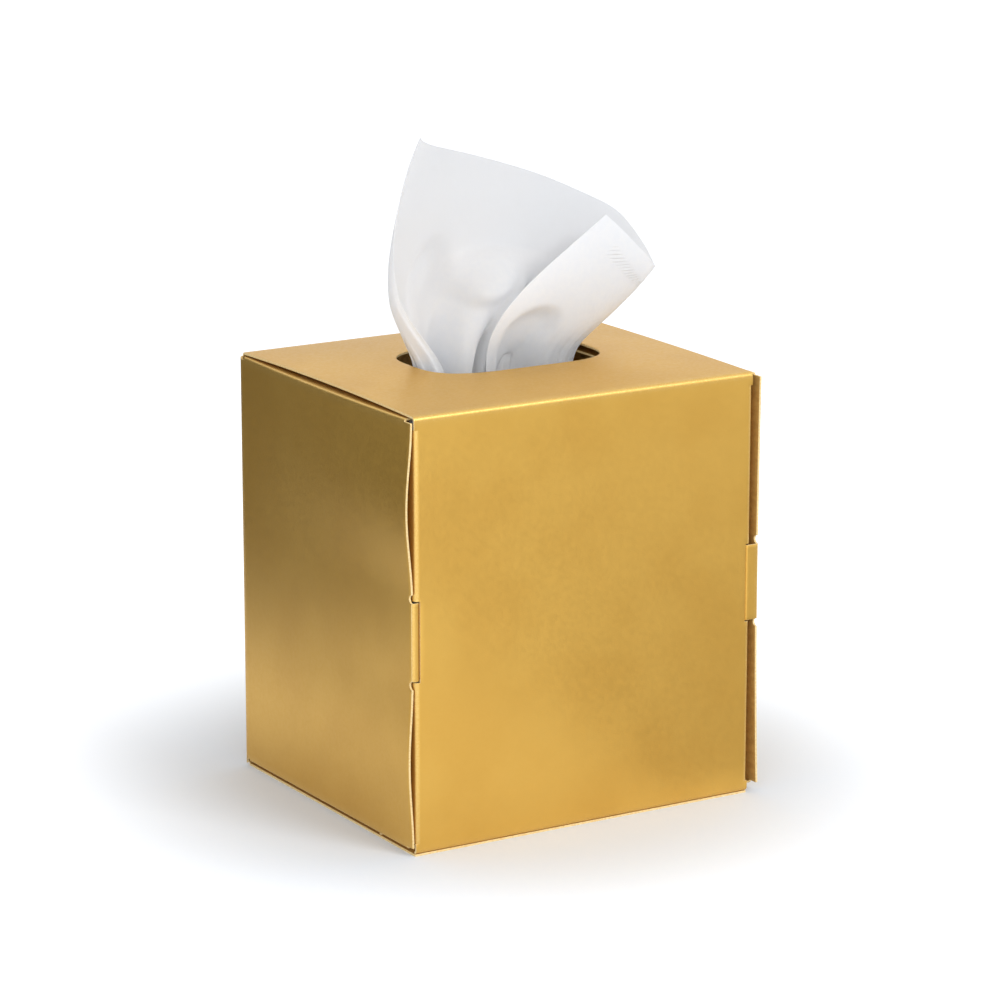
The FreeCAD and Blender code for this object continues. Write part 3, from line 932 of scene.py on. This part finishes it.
@dataclass
class SideFlap:
    """One side flap: its sprung panel, two dust flaps and the tab in its slit."""

    sizes: CartonSizes
    finish: CardFinish
    side: Side
    edge_setback: float = 0.5 * MM
    dust_reach: float = 33.0 * MM
    dust_front_setback: float = 3.5 * MM
    dust_front_taper: float = 5.0 * MM
    dust_back_setback: float = 1.5 * MM
    dust_back_taper: float = 4.0 * MM
    relief: float = 0.9 * MM
    bend_radius: float = 0.8 * MM
    left_bulge_above: float = 1.7 * MM
    left_bulge_below: float = 1.1 * MM
    left_top_bow: float = 1.3 * MM
    right_ajar_tab: float = 2.1 * MM
    right_ajar_top: float = 2.5 * MM
    right_ajar_foot: float = 3.2 * MM
    tab_root: float = 1.2 * MM
    tab_tucked: float = 6.5 * MM
    tab_taper: float = 1.5 * MM
    root_steps: int = 24
    root_cut: tuple[float, float] = (-3 * MM, 9 * MM)
    edge_round: float = 0.08 * MM
    tab_start: float = 0.35 * MM
    tab_jog: tuple[float, float] = (0.8 * MM, -0.2 * MM)
    tab_bends: tuple[float, ...] = (0, 0.62 * MM, 0.45 * MM, 0.45 * MM, 0)
    crease_width: float = 0.9 * MM

    @property
    def name(self) -> str:
        """Name of the flap's body and CAD node."""
        return f"{self.side.name.lower()}_side_flap"

    def spring(self, y: float, z: float) -> float:
        """How far the card has sprung outwards at one place."""
        s = self.sizes
        forward = (s.hinge_y - y) / s.depth
        if self.side is Side.RIGHT:
            middle = s.tab_right_z
            end, ajar = ((s.flap_top, self.right_ajar_top) if z > middle
                         else (s.flap_bottom, self.right_ajar_foot))
            extra = (ajar - self.right_ajar_tab) * ((z - middle) / (end - middle)) ** 2
            return (self.right_ajar_tab + extra) * forward
        low, high = s.tab_left_z - s.tab_height / 2, s.tab_left_z + s.tab_height / 2
        lobe = bow = 0.0
        if z > high:
            share = (z - high) / (s.flap_top - high)
            lobe = self.left_bulge_above * math.sin(math.pi * share) ** 2
            bow = self.left_top_bow * share ** 2
        elif z < low:
            share = (low - z) / (low - s.flap_bottom)
            lobe = self.left_bulge_below * math.sin(math.pi * share) ** 2
        return lobe * max(forward, 0.0) ** 1.5 + bow * (1 - (2 * y / s.depth) ** 2)

    def outside(self, y: float, z: float) -> float:
        """Distance of the outer face from the middle of the box."""
        return self.sizes.flap_outside + self.spring(y, z)

    def dust_end(self, y: float, relieved: bool) -> float:
        """Distance of a dust flap's free edge from the middle of the box at one depth."""
        s = self.sizes
        inner = s.half_width - self.dust_reach
        if not relieved:
            return inner
        reach = s.opening_reach(y, self.relief)
        return max(inner, reach + self.side.value * s.opening_x) if reach else inner

    def panel(self) -> bpy.types.Object:
        """Builds the panel with its dust flaps as one folded sheet."""
        s = self.sizes
        card, radius = s.card, self.bend_radius
        y_front = -s.half_depth + self.edge_setback
        front = -s.half_depth + self.dust_front_setback
        back = s.half_depth - s.fold_radius - self.dust_back_setback
        ys = np.array([y_front, (y_front + front) / 2, *np.linspace(front, back, 90), s.hinge_y])
        levels = np.linspace(s.flap_bottom + radius, s.flap_top - radius, 64)
        arc = np.linspace(0, math.pi / 2, 8)
        dust = shares(14, False, True)
        rows_outer, rows_inner, is_dust = [], [], []

        def add(points: list, dusty: bool) -> None:
            """Keeps one row of outer and inner points."""
            rows_outer.append([p[0] for p in points])
            rows_inner.append([p[1] for p in points])
            is_dust.append(dusty)

        def dust_row(share: float, z_out: float, z_in: float, z_fold: float, relieved: bool) -> None:
            """Adds a row of a dust flap at a share of its reach."""
            points = []
            for y in ys:
                start = self.outside(y, z_fold) - radius
                end = self.dust_end(y, relieved)
                x = start + (end - start) * share
                slant = (y - front) / (back - front)
                pulled = y + share * (self.dust_front_taper * (1 - slant) - self.dust_back_taper * slant)
                points.append(((x, pulled, z_out), (x, pulled, z_in)))
            add(points, True)

        def arc_row(angle: float, z_fold: float, up: int) -> None:
            """Adds a row round a dust flap's fold."""
            points = []
            for y in ys:
                x = self.outside(y, z_fold) - radius
                z = z_fold - up * radius
                cosine, sine = math.cos(angle), math.sin(angle)
                points.append(((x + radius * cosine, y, z + up * radius * sine),
                               (x + (radius - card) * cosine, y, z + up * (radius - card) * sine)))
            add(points, angle > 0.01)

        for share in dust[::-1]:
            dust_row(share, s.flap_bottom, s.flap_bottom + card, s.flap_bottom, False)
        for angle in arc[::-1]:
            arc_row(angle, s.flap_bottom, -1)
        for z in levels[1:-1]:
            add([((self.outside(y, z), y, z), (self.outside(y, z) - card, y, z)) for y in ys], False)
        for angle in arc:
            arc_row(angle, s.flap_top, 1)
        for share in dust:
            dust_row(share, s.flap_top, s.flap_top - card, s.flap_top, True)
        outer, inner = np.array(rows_outer), np.array(rows_inner)
        outer[:, :, 0] *= self.side.value
        inner[:, :, 0] *= self.side.value
        keep = np.ones((len(outer) - 1, len(ys) - 1), bool)
        for i in range(len(outer) - 1):
            if is_dust[i] or is_dust[i + 1]:
                keep[i, :2] = False
                keep[i, -1] = False
        crease = sum(near(outer[:, :, 2] - z, self.crease_width) for z in (s.flap_top, s.flap_bottom))
        crease *= np.abs(outer[:, :, 0]) > s.half_width - 1.0 * MM
        return CardGrid(outer, inner, keep, crease).make(f"{self.name}_panel")

    def tab(self) -> bpy.types.Object:
        """Builds the tab that turns the front fold and goes in behind the front panel."""
        s = self.sizes
        sign = self.side.value
        middle, half = s.tab_z(self.side), s.tab_height / 2
        y_front = -s.half_depth + self.edge_setback
        slit_edge = s.half_width - s.slit_inset
        face = -s.half_depth + s.card / 2
        behind = s.behind_front + s.card / 2
        levels = np.linspace(middle - half, middle + half, 23)
        outer, inner = [], []
        for z in levels:
            root = self.outside(y_front, z) - s.card / 2
            path = [(root, y_front + self.tab_start), (root, face), (slit_edge + self.tab_jog[0], face),
                    (slit_edge + self.tab_jog[1], behind), (slit_edge - self.tab_tucked, behind)]
            marks = [np.array([0.0]), shares(3, False, False), shares(2, False, False), shares(6, False)]
            points, normals = rounded_path(path, list(self.tab_bends), marks, 6)
            taper = np.clip((slit_edge - points[:, 0]) / self.tab_tucked, 0, 1)
            height = middle + (z - middle) * (1 - taper * self.tab_taper / half)
            for grid, offset in ((outer, s.card / 2), (inner, -s.card / 2)):
                place = points + normals * offset
                grid.append(np.column_stack([sign * place[:, 0], place[:, 1], height]))
        outer_grid, inner_grid = np.array(outer), np.array(inner)
        keep = np.ones((len(levels) - 1, outer_grid.shape[1] - 1), bool)
        bend = np.hypot(np.abs(outer_grid[:, :, 0]) - self.outside(y_front, middle),
                        outer_grid[:, :, 1] - face)
        grid = CardGrid(outer_grid, inner_grid, keep, near(bend, self.crease_width))
        return grid.make(f"{self.name}_tab")

    def cut_tab_roots(self, panel: bpy.types.Object) -> None:
        """Rounds out the panel's front edge above and below the tab.

        Args:
            panel: the flap's panel, changed in place.
        """
        s = self.sizes
        steps = self.root_steps
        reach = s.tab_height / 2 + self.tab_root
        for up in (1, -1):
            verts = []
            for cut in self.root_cut:
                for i in range(steps):
                    angle = 2 * math.pi * i / steps
                    verts.append((self.side.value * (s.half_width + cut),
                                  -s.half_depth + self.edge_setback + self.tab_root * math.cos(angle),
                                  s.tab_z(self.side) + up * reach + self.tab_root * math.sin(angle)))
            cut_with(panel, verts, steps, self.finish.materials)

    def make(self) -> list[bpy.types.Object]:
        """Builds and dresses the flap.

        Returns:
            Its pieces.
        """
        pieces = [self.panel(), self.tab()]
        for piece in pieces:
            self.finish.dress(piece)
        self.cut_tab_roots(pieces[0])
        for piece in pieces:
            soften_edges(piece, self.edge_round)
            smooth_by_angle(piece.data, SMOOTH_CARD)
            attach(piece, self.name)
        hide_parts(self.name)
        return pieces


@dataclass(frozen=True)
class Spot:
    """A round place on the sheet, in shares of its width and length, and how deep it goes."""

    place: float
    rise: float
    half_width: float
    half_length: float
    depth: float

    def away(self, place: np.ndarray, rise: np.ndarray) -> np.ndarray:
        """Distance from its middle, one at its edge."""
        return np.hypot((place - self.place) / self.half_width, (rise - self.rise) / self.half_length)


@dataclass(frozen=True)
class Ripple:
    """A wave across the sheet whose folds may slant and sway."""

    folds: float
    slant: float = 0.0
    phase: float = 0.0
    sway: float = 0.0
    sway_rate: float = 0.0
    sway_phase: float = 0.0

    def at(self, place: np.ndarray, rise: np.ndarray) -> np.ndarray:
        """The wave, from minus one to one."""
        sway = self.sway * np.sin(self.sway_rate * place + self.sway_phase)
        return np.sin(2 * math.pi * (self.folds * place + sway + self.slant * rise + self.phase))


def step_down(value: np.ndarray, at: np.ndarray | float, width: float) -> np.ndarray:
    """Falls smoothly from one to zero where a value passes another."""
    return 1 / (1 + np.exp(np.clip((value - at) / width, -50, 50)))


@dataclass
class PulledTissue:
    """The tissue that stands in the opening, a gathered sheet that curls forward at its sides.

    Three values in a row are those at the slot, half way up and at the top edge. Places, widths,
    reaches and depths of its formula are shares of the sheet or millimetres.
    """

    material: bpy.types.Material
    carton_height: float = 124.0 * MM
    foot: float = 100.6 * MM
    slot_rise: float = 1.5
    slot_share: float = 0.26
    slot_bend: float = 0.12
    foot_spread: float = 0.25
    thickness: float = 0.22 * MM
    columns: int = 300
    rows: int = 150
    centre_x: tuple[float, float, float] = (1.2, 1.5, 13.2)
    centre_y: tuple[float, float, float] = (2.0, -2.5, -3.0)
    reach_x: tuple[float, float, float] = (23.6, 38.5, 38.8)
    reach_y: tuple[float, float, float] = (7.5, 9.0, 8.0)
    left_turn: tuple[float, float, float] = (226.0, 186.0, 172.0)
    right_turn: tuple[float, float, float] = (-108.0, -92.0, -63.0)
    top_places: tuple[float, ...] = (0.0, 0.24, 0.365, 0.47, 0.55, 0.66, 0.735, 0.81, 0.9, 1.0)
    top_heights: tuple[float, ...] = (66.6, 59.0, 52.6, 45.5, 40.0, 29.5, 24.2, 24.2, 30.2, 41.1)
    pleats: int = 5
    pleat_depth: float = 1.6
    pleat_fade: float = 1.6
    pleat_start: float = 0.6
    ridge_place: tuple[float, float, float] = (0.305, 0.37, 0.42)
    ridge_width: tuple[float, float, float] = (0.042, 0.06, 0.09)
    ridge_depth: float = 12.0
    ridge_top: float = 0.6
    ridge_steepness: float = 1.4
    lobe_foot: float = 0.35
    shelf_setback: float = 0.032
    shelf_end: float = 0.56
    shelf_depth: float = 11.5
    shelf_top: float = 0.5
    shelf_slant: float = 0.25
    shelf_start_width: float = 0.004
    shelf_end_width: float = 0.02
    shelf_ripple: Ripple = Ripple(15, -1.9, 0.2)
    shelf_ripple_depth: float = 1.1
    lobe: Spot = Spot(0.335, 0.43, 0.055, 0.11, 5.0)
    left_dent: Spot = Spot(0.238, 0.42, 0.034, 0.17, 5.0)
    curl_dent: Spot = Spot(0.93, 0.26, 0.04, 0.2, 4.2)
    edge_pull: float = 2.8
    edge_pull_width: float = 0.13
    edge_pull_foot: float = 0.3
    billow: float = 1.5
    billow_foot: float = 0.4
    billow_wave: Ripple = Ripple(2.6, 0.35, 0.15)
    gather_top: float = 0.5
    gather_depth: float = 0.45
    finer_share: float = 0.35
    gather_wave: Ripple = Ripple(17, 0.35, sway=1.1, sway_rate=9)
    finer_wave: Ripple = Ripple(41, sway=0.9, sway_rate=14, sway_phase=1.0)
    # Where the sheet is painted whiter as a painted highlight, the rest getting the painted shade: the ridge,
    # the shelf, the right curl and the left edge
    painted_ridge_light: tuple[float, ...] = (0.325, 0.065, 0.66, 0.018)
    painted_shelf_light: tuple[float, ...] = (0.44, 0.11, 0.012, 0.47, 0.03)
    painted_curl_light: tuple[float, float] = (0.74, 0.08)
    painted_edge_light: tuple[float, float] = (0.6, 0.07)
    flat_size: tuple[float, float] = (0.125, 0.095)

    @staticmethod
    def through(values: tuple[float, float, float], share: np.ndarray) -> np.ndarray:
        """Value along a parabola through three evenly spaced values."""
        low, middle, high = values
        at_low = low * (1 - share) * (1 - 2 * share)
        return at_low + 4 * middle * share * (1 - share) + high * share * (2 * share - 1)

    def top_height(self, place: np.ndarray) -> np.ndarray:
        """Height of the top edge above the carton, smooth through its known places."""
        xs, ys = np.array(self.top_places), np.array(self.top_heights)
        slopes = np.gradient(ys, xs)
        i = np.clip(np.searchsorted(xs, place, side="right") - 1, 0, len(xs) - 2)
        step = xs[i + 1] - xs[i]
        t = (place - xs[i]) / step
        return ((2 * t ** 3 - 3 * t ** 2 + 1) * ys[i] + (t ** 3 - 2 * t ** 2 + t) * slopes[i] * step
                + (-2 * t ** 3 + 3 * t ** 2) * ys[i + 1] + (t ** 3 - t ** 2) * slopes[i + 1] * step)

    def surface(self, place: np.ndarray, rise: np.ndarray) -> np.ndarray:
        """Points of the sheet.

        Args:
            place: shares of its width, from its left edge.
            rise: shares of its length, from its foot.

        Returns:
            The points, in metres.
        """
        past = (rise - self.slot_share) / (1 - self.slot_share)
        up = (past + np.hypot(past, self.slot_bend)) / 2
        below = up - past
        inside = self.slot_share / (1 - self.slot_share)
        slot = self.carton_height / MM + self.slot_rise
        z = slot + (self.top_height(place) - self.slot_rise) * up - (slot - self.foot / MM) * below / inside
        spread = 1 + self.foot_spread * (below / inside) ** 2
        left, right = self.through(self.left_turn, up), self.through(self.right_turn, up)
        angle = np.radians(left + (right - left) * place)
        pleat = np.sin(2 * math.pi * self.pleats * place + self.pleat_start)
        pleat = pleat * self.pleat_depth * np.maximum(1 - up, 0) ** self.pleat_fade
        fade = np.maximum(1 - (up / self.ridge_top) ** 2, 0)
        beside = (place - self.through(self.ridge_place, up)) / self.through(self.ridge_width, up)
        steep = 1 + self.ridge_steepness * np.maximum(1 - up / self.lobe_foot, 0)
        beside = np.where(beside > 0, beside * steep, beside)
        ridge = self.ridge_depth * fade ** 1.3 * np.exp(-beside ** 4)
        reach_x = self.through(self.reach_x, up) * spread + 0.3 * pleat
        reach_y = self.through(self.reach_y, up) * spread + pleat
        x = self.through(self.centre_x, up) + reach_x * np.cos(angle)
        y = self.through(self.centre_y, up) + reach_y * np.sin(angle) - ridge
        y = y + self.dents(place, up) + self.gathers(place, up) - self.shelf(place, up)
        pulled = np.clip((up - self.edge_pull_foot) / (1 - self.edge_pull_foot), 0, 1)
        x = x + self.edge_pull * near(place, self.edge_pull_width) * np.sin(math.pi * pulled)
        return np.stack([x, y, z], axis=-1) * MM

    def dents(self, place: np.ndarray, up: np.ndarray) -> np.ndarray:
        """Hollows beside the ridge and in the right curl, as a move backwards."""
        left, curl, lobe = self.left_dent, self.curl_dent, self.lobe
        arch = curl.away(place, np.maximum(up, curl.rise))
        wave = self.billow_wave.at(place, up) * np.clip(up - self.billow_foot, 0, 1)
        return (left.depth * np.exp(-left.away(place, up) ** 4) + curl.depth * np.exp(-arch ** 6)
                - lobe.depth * np.exp(-lobe.away(place, up) ** 4) + self.billow * wave)

    def bunched(self, place: np.ndarray, rise: np.ndarray) -> np.ndarray:
        """Share of painted highlight: one on the ridge, the shelf, the right curl and the left edge, and zero
        over the upper sheet, which gets the painted shade.
        """
        middle, half, top, fade = self.painted_ridge_light
        ridge = np.exp(-((place - middle) / half) ** 4) * step_down(rise, top, fade)
        middle, half, side_fade, top, fade = self.painted_shelf_light
        shelf = step_down(np.abs(place - middle), half, side_fade) * step_down(rise, top, fade)
        start, width = self.painted_curl_light
        curl = np.clip((place - start) / width, 0, 1)
        most, width = self.painted_edge_light
        return np.clip(ridge + shelf + curl + most * near(place, width), 0, 1)

    def shelf(self, place: np.ndarray, up: np.ndarray) -> np.ndarray:
        """Folds gathered to the front between the ridge and the right curl."""
        start = self.through(self.ridge_place, up) + self.shelf_setback
        fade = np.clip(1 - (np.maximum(up, 0) / self.shelf_top) ** 2, 0, 1)
        rising = step_down(start, place, self.shelf_start_width)
        falling = step_down(place - self.shelf_end + self.shelf_slant * up, 0.0, self.shelf_end_width)
        folds = self.shelf_ripple_depth * self.shelf_ripple.at(place, up)
        return fade * rising * falling * (self.shelf_depth + folds)

    def gathers(self, place: np.ndarray, up: np.ndarray) -> np.ndarray:
        """Small pleats that fan out of the slot and die away upwards."""
        fade = np.clip(1 - up / self.gather_top, 0, 1) ** 2
        waves = self.gather_wave.at(place, up) + self.finer_share * self.finer_wave.at(place, up)
        return fade * self.gather_depth * waves

    def make(self) -> bpy.types.Object:
        """Builds and dresses the sheet.

        Returns:
            The piece.
        """
        place, rise = np.meshgrid(shares(self.columns), shares(self.rows))
        points = self.surface(place, rise)
        count = self.columns + 1
        faces = [(i * count + j, i * count + j + 1, (i + 1) * count + j + 1, (i + 1) * count + j)
                 for i in range(self.rows) for j in range(self.columns)]
        obj = new_object("pulled_tissue_sheet", points.reshape(-1, 3).tolist(), faces)
        obj.data.materials.append(self.material)
        for name, values in (("across", place), ("along", rise), ("bunched", self.bunched(place, rise))):
            attribute = obj.data.attributes.new(name, "FLOAT", "POINT")
            attribute.data.foreach_set("value", values.ravel())
        thicken(obj, self.thickness)
        smooth_by_angle(obj.data, 60.0)
        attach(obj, "carton")
        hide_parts("pulled_tissue")
        return obj


@dataclass
class TissuePile:
    """Stack of folded tissues inside the carton, each folded into the next."""

    material: bpy.types.Material
    length: float = 105.0 * MM
    depth: float = 89.0 * MM
    bottom: float = 2.5 * MM
    top: float = 98.0 * MM
    crown: float = 2.0 * MM
    count: int = 46
    ply: float = 0.5 * MM
    shift: float = 0.35 * MM
    back_setback: float = 1.5 * MM
    seed: int = 7

    @property
    def pitch(self) -> float:
        """Height that one leaf takes up."""
        return (self.top - self.bottom) / self.count

    def leaf(self) -> bpy.types.Object:
        """Builds one folded tissue: a hairpin section with its fold at the front."""
        half = self.depth / 2
        radius = self.pitch / 4
        arc = [(-half - radius * math.sin(a), radius * math.cos(a)) for a in np.linspace(0, math.pi, 9)]
        line = [(half - self.back_setback, radius), *arc, (half, -radius)]
        stations = np.linspace(-self.length / 2, self.length / 2, 22)
        verts = [(x, y, z) for x in stations for y, z in line]
        n = len(line)
        faces = [(i * n + j, i * n + j + 1, (i + 1) * n + j + 1, (i + 1) * n + j)
                 for i in range(len(stations) - 1) for j in range(n - 1)]
        obj = new_object("folded_leaf", verts, faces)
        thicken(obj, self.ply)
        return obj

    def tree(self) -> bpy.types.NodeTree:
        """Builds the Geometry Nodes tree that stacks the leaves, each second one turned round."""
        tree = bpy.data.node_groups.new("stacked_leaves", "GeometryNodeTree")
        for name, kind in (("Geometry", "Geometry"), ("Leaf", "Object"), ("Count", "Int"),
                           ("Pitch", "Float"), ("Bottom", "Float"), ("Shift", "Float"), ("Seed", "Int")):
            tree.interface.new_socket(name, in_out="INPUT", socket_type=f"NodeSocket{kind}")
        tree.interface.new_socket("Geometry", in_out="OUTPUT", socket_type="NodeSocketGeometry")
        given = tree.nodes.new("NodeGroupInput").outputs

        def vector(**parts: object) -> bpy.types.NodeSocket:
            """Makes a vector out of its named parts."""
            return add_node(tree, "ShaderNodeCombineXYZ", parts).outputs[0]

        line = add_node(tree, "GeometryNodeMeshLine",
                        {"Count": given["Count"], "Offset": vector(Z=given["Pitch"]),
                         "Start Location": vector(Z=given["Bottom"])}, mode="OFFSET")
        index = tree.nodes.new("GeometryNodeInputIndex").outputs[0]
        odd = add_node(tree, "ShaderNodeMath", {0: index, 1: 2.0}, operation="MODULO").outputs[0]
        turn = add_node(tree, "ShaderNodeMath", {0: odd, 1: math.pi}, operation="MULTIPLY").outputs[0]
        drawn = add_node(tree, "GeometryNodeObjectInfo", {"Object": given["Leaf"], "As Instance": True})
        stack = add_node(tree, "GeometryNodeInstanceOnPoints",
                         {"Points": line.outputs["Mesh"], "Instance": drawn.outputs["Geometry"],
                          "Rotation": vector(Z=turn)})
        reach = vector(X=given["Shift"], Y=given["Shift"])
        back = add_node(tree, "ShaderNodeVectorMath", {0: reach, "Scale": -1.0}, operation="SCALE").outputs[0]
        random = add_node(tree, "FunctionNodeRandomValue", {"Min": back, "Max": reach, "Seed": given["Seed"]},
                          data_type="FLOAT_VECTOR")
        move = add_node(tree, "GeometryNodeTranslateInstances",
                        {"Instances": stack.outputs[0], "Translation": random.outputs["Value"]})
        real = add_node(tree, "GeometryNodeRealizeInstances", {0: move.outputs[0]})
        paint = add_node(tree, "GeometryNodeSetMaterial",
                         {"Geometry": real.outputs[0], "Material": self.material})
        add_node(tree, "NodeGroupOutput", {"Geometry": paint.outputs[0]})
        return tree

    def make(self) -> bpy.types.Object:
        """Builds and dresses the pile.

        Returns:
            The piece.
        """
        leaf = self.leaf()
        obj = new_object("folded_tissues", [], [])
        tree = self.tree()
        values = {"Leaf": leaf, "Count": self.count, "Pitch": self.pitch,
                  "Bottom": self.bottom + self.pitch / 2, "Shift": self.shift, "Seed": self.seed}
        stack = obj.modifiers.new("stack", "NODES")
        stack.node_group = tree
        for item in tree.interface.items_tree:
            if item.item_type == "SOCKET" and item.in_out == "INPUT" and item.name in values:
                stack[item.identifier] = values[item.name]
        applied(obj)
        bpy.data.objects.remove(leaf)
        bpy.data.node_groups.remove(tree)
        for vert in obj.data.vertices:
            # only the leaves' ends have points, so little of the crown is left there
            share = (vert.co.z - self.bottom) / (self.top - self.bottom)
            side = 1 - (2 * vert.co.y / self.depth) ** 2
            vert.co.z += self.crown * share ** 3 * max(side, 0.0)
        smooth_by_angle(obj.data, 45.0)
        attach(obj, "carton")
        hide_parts("tissue_pile")
        return obj


@dataclass(frozen=True)
class Lamp:
    """A soft round lamp that faces the box."""

    name: str
    place: tuple[float, float, float]
    size: float
    power: float

    def make(self) -> None:
        """Adds the lamp."""
        light = bpy.data.lights.new(self.name, "AREA")
        light.shape = "DISK"
        light.size = self.size
        light.energy = self.power
        obj = bpy.data.objects.new(self.name, light)
        obj.location = self.place
        aim = Vector((0, 0, 0.06)) - Vector(self.place)
        obj.rotation_euler = aim.to_track_quat("-Z", "Y").to_euler()
        bpy.context.scene.collection.objects.link(obj)


@dataclass(frozen=True)
class StagePlane:
    """A matt four-cornered plane of the studio."""

    name: str
    colour: tuple[float, float, float]
    corners: tuple[tuple[float, float, float], ...]

    def make(self) -> bpy.types.Object:
        """Builds the plane.

        Returns:
            The object, marked as stage.
        """
        plane = new_object(self.name, list(self.corners), [(0, 1, 2, 3)])
        material = bpy.data.materials.new(self.name)
        material.use_nodes = True
        surface = material.node_tree.nodes["Principled BSDF"]
        surface.inputs["Base Color"].default_value = (*self.colour, 1)
        surface.inputs["Roughness"].default_value = 1.0
        plane.data.materials.append(material)
        return plane


FLOOR = StagePlane("studio_floor", (0.78, 0.83, 0.90), ((-6, -6, 0), (6, -6, 0), (6, 6, 0), (-6, 6, 0)))
# Cards that only the gold's gloss shows: they darken its left side and the right of its front
GLOSS_CARDS = (
    StagePlane("left_dark_card", (0.05, 0.05, 0.05),
               ((-0.13, 0.12, 0.002), (-0.62, 0.02, 0.002), (-0.5, 0.95, 0.002), (0.02, 0.95, 0.002))),
    StagePlane("left_dark_wall", (0.05, 0.05, 0.05),
               ((-0.62, 0.1, 0.0), (0.1, 0.9, 0.0), (0.1, 0.9, 0.5), (-0.62, 0.1, 0.5))),
    StagePlane("right_grey_card", (0.5, 0.5, 0.5),
               ((0.035, -0.06, 0.002), (0.6, -0.04, 0.002), (0.8, -0.8, 0.002), (0.05, -0.9, 0.002))),
)
LAMPS = (Lamp("key_lamp", (0.4, -1.3, 1.0), 0.7, 10.0), Lamp("fill_lamp", (-0.85, -1.15, 0.6), 1.0, 4.4))


@dataclass
class Studio:
    """Pale floor, soft light and the camera."""

    camera_at: tuple[float, float, float] = (-0.60016, -0.99173, 0.37441)
    camera_down: float = 14.0866
    camera_turn: float = 31.2583
    lens: float = 150.22
    sensor: float = 36.0
    ambient: float = 0.62
    # Painted glow of the floor for the camera and gloss: 0.06 within 6 cm of the middle, rising to 0.62
    # beyond 17 cm, which whitens the floor and the outer shadow
    floor_glow: tuple[float, ...] = (0.06, 0.17, 0.06, 0.62)

    def floor(self) -> None:
        """Builds the floor with the box's shadow on it, and a painted glow, seen by the camera and gloss,
        that is weak close to the box and whitens the floor further out.
        """
        tree = FLOOR.make().data.materials[0].node_tree
        surface = tree.nodes["Principled BSDF"]
        surface.inputs["Specular IOR Level"].default_value = 0.0
        surface.inputs["Emission Color"].default_value = (1, 1, 1, 1)
        place = tree.nodes.new("ShaderNodeTexCoord").outputs["Object"]
        away = add_node(tree, "ShaderNodeVectorMath", {0: place}, operation="LENGTH").outputs["Value"]
        reach = dict(zip(("From Min", "From Max", "To Min", "To Max"), self.floor_glow))
        lift = add_node(tree, "ShaderNodeMapRange", {"Value": away, **reach}, interpolation_type="SMOOTHSTEP")
        level = add_node(tree, "ShaderNodeMath",
                         {0: self.shown_to_eye(tree, 0.0, 1.0), 1: lift.outputs["Result"]},
                         operation="MULTIPLY")
        tree.links.new(level.outputs[0], surface.inputs["Emission Strength"])

    def shown_to_eye(self, tree: bpy.types.NodeTree, hidden: float, shown: float) -> bpy.types.NodeSocket:
        """Gives a level to the camera and to mirrored and see-through rays, and another to the rest.

        Args:
            tree: node tree of the floor or the world.
            hidden: level for the other rays.
            shown: level for those rays.

        Returns:
            The level.
        """
        path = tree.nodes.new("ShaderNodeLightPath")
        seen = path.outputs["Is Camera Ray"]
        for ray in ("Is Glossy Ray", "Is Transmission Ray"):
            either = add_node(tree, "ShaderNodeMath", {0: seen, 1: path.outputs[ray]}, operation="MAXIMUM")
            seen = either.outputs[0]
        inputs = {"Value": seen, "To Min": hidden, "To Max": shown}
        return add_node(tree, "ShaderNodeMapRange", inputs).outputs["Result"]

    def world(self) -> None:
        """Makes the world white to the camera and to gloss, and dimmer to the rest."""
        world = bpy.data.worlds.new("studio")
        world.use_nodes = True
        bpy.context.scene.world = world
        tree = world.node_tree
        nodes, links = tree.nodes, tree.links
        background = nodes["Background"]
        background.inputs["Color"].default_value = (1, 1, 1, 1)
        links.new(self.shown_to_eye(tree, self.ambient, 1.0), background.inputs["Strength"])

    def camera(self) -> None:
        """Adds the camera at the photograph's place."""
        data = bpy.data.cameras.new("camera")
        data.lens = self.lens
        data.sensor_width = self.sensor
        camera = bpy.data.objects.new("camera", data)
        camera.location = self.camera_at
        camera.rotation_euler = (math.radians(90 - self.camera_down), 0, -math.radians(self.camera_turn))
        bpy.context.scene.collection.objects.link(camera)
        bpy.context.scene.camera = camera

    def make(self) -> None:
        """Sets up the whole studio."""
        self.camera()
        self.floor()
        for lamp in LAMPS:
            lamp.make()
        for plane in GLOSS_CARDS:
            card = plane.make()
            for ray in ("camera", "diffuse", "shadow", "transmission"):
                setattr(card, f"visible_{ray}", False)
        self.world()
        bpy.context.scene.view_settings.view_transform = "Standard"


def main() -> None:
    """Builds the box around the frame."""
    logging.basicConfig(level=logging.INFO, format="%(name)s %(message)s")
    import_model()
    sizes = CartonSizes()
    finish = CardFinish()
    pieces = Carton(sizes, finish).make()
    for side in Side:
        pieces += SideFlap(sizes, finish, side).make()
    pieces.append(TissuePile(TissuePaper(name="pile_paper").make()).make())
    pieces.append(PulledTissue(TissuePaper(crimps_and_painted_light=True).make()).make())
    Studio().make()
    for piece in pieces:
        LOG.info("%s has %d faces", piece.name, len(piece.data.polygons))


if __name__ == "__main__":
    main()
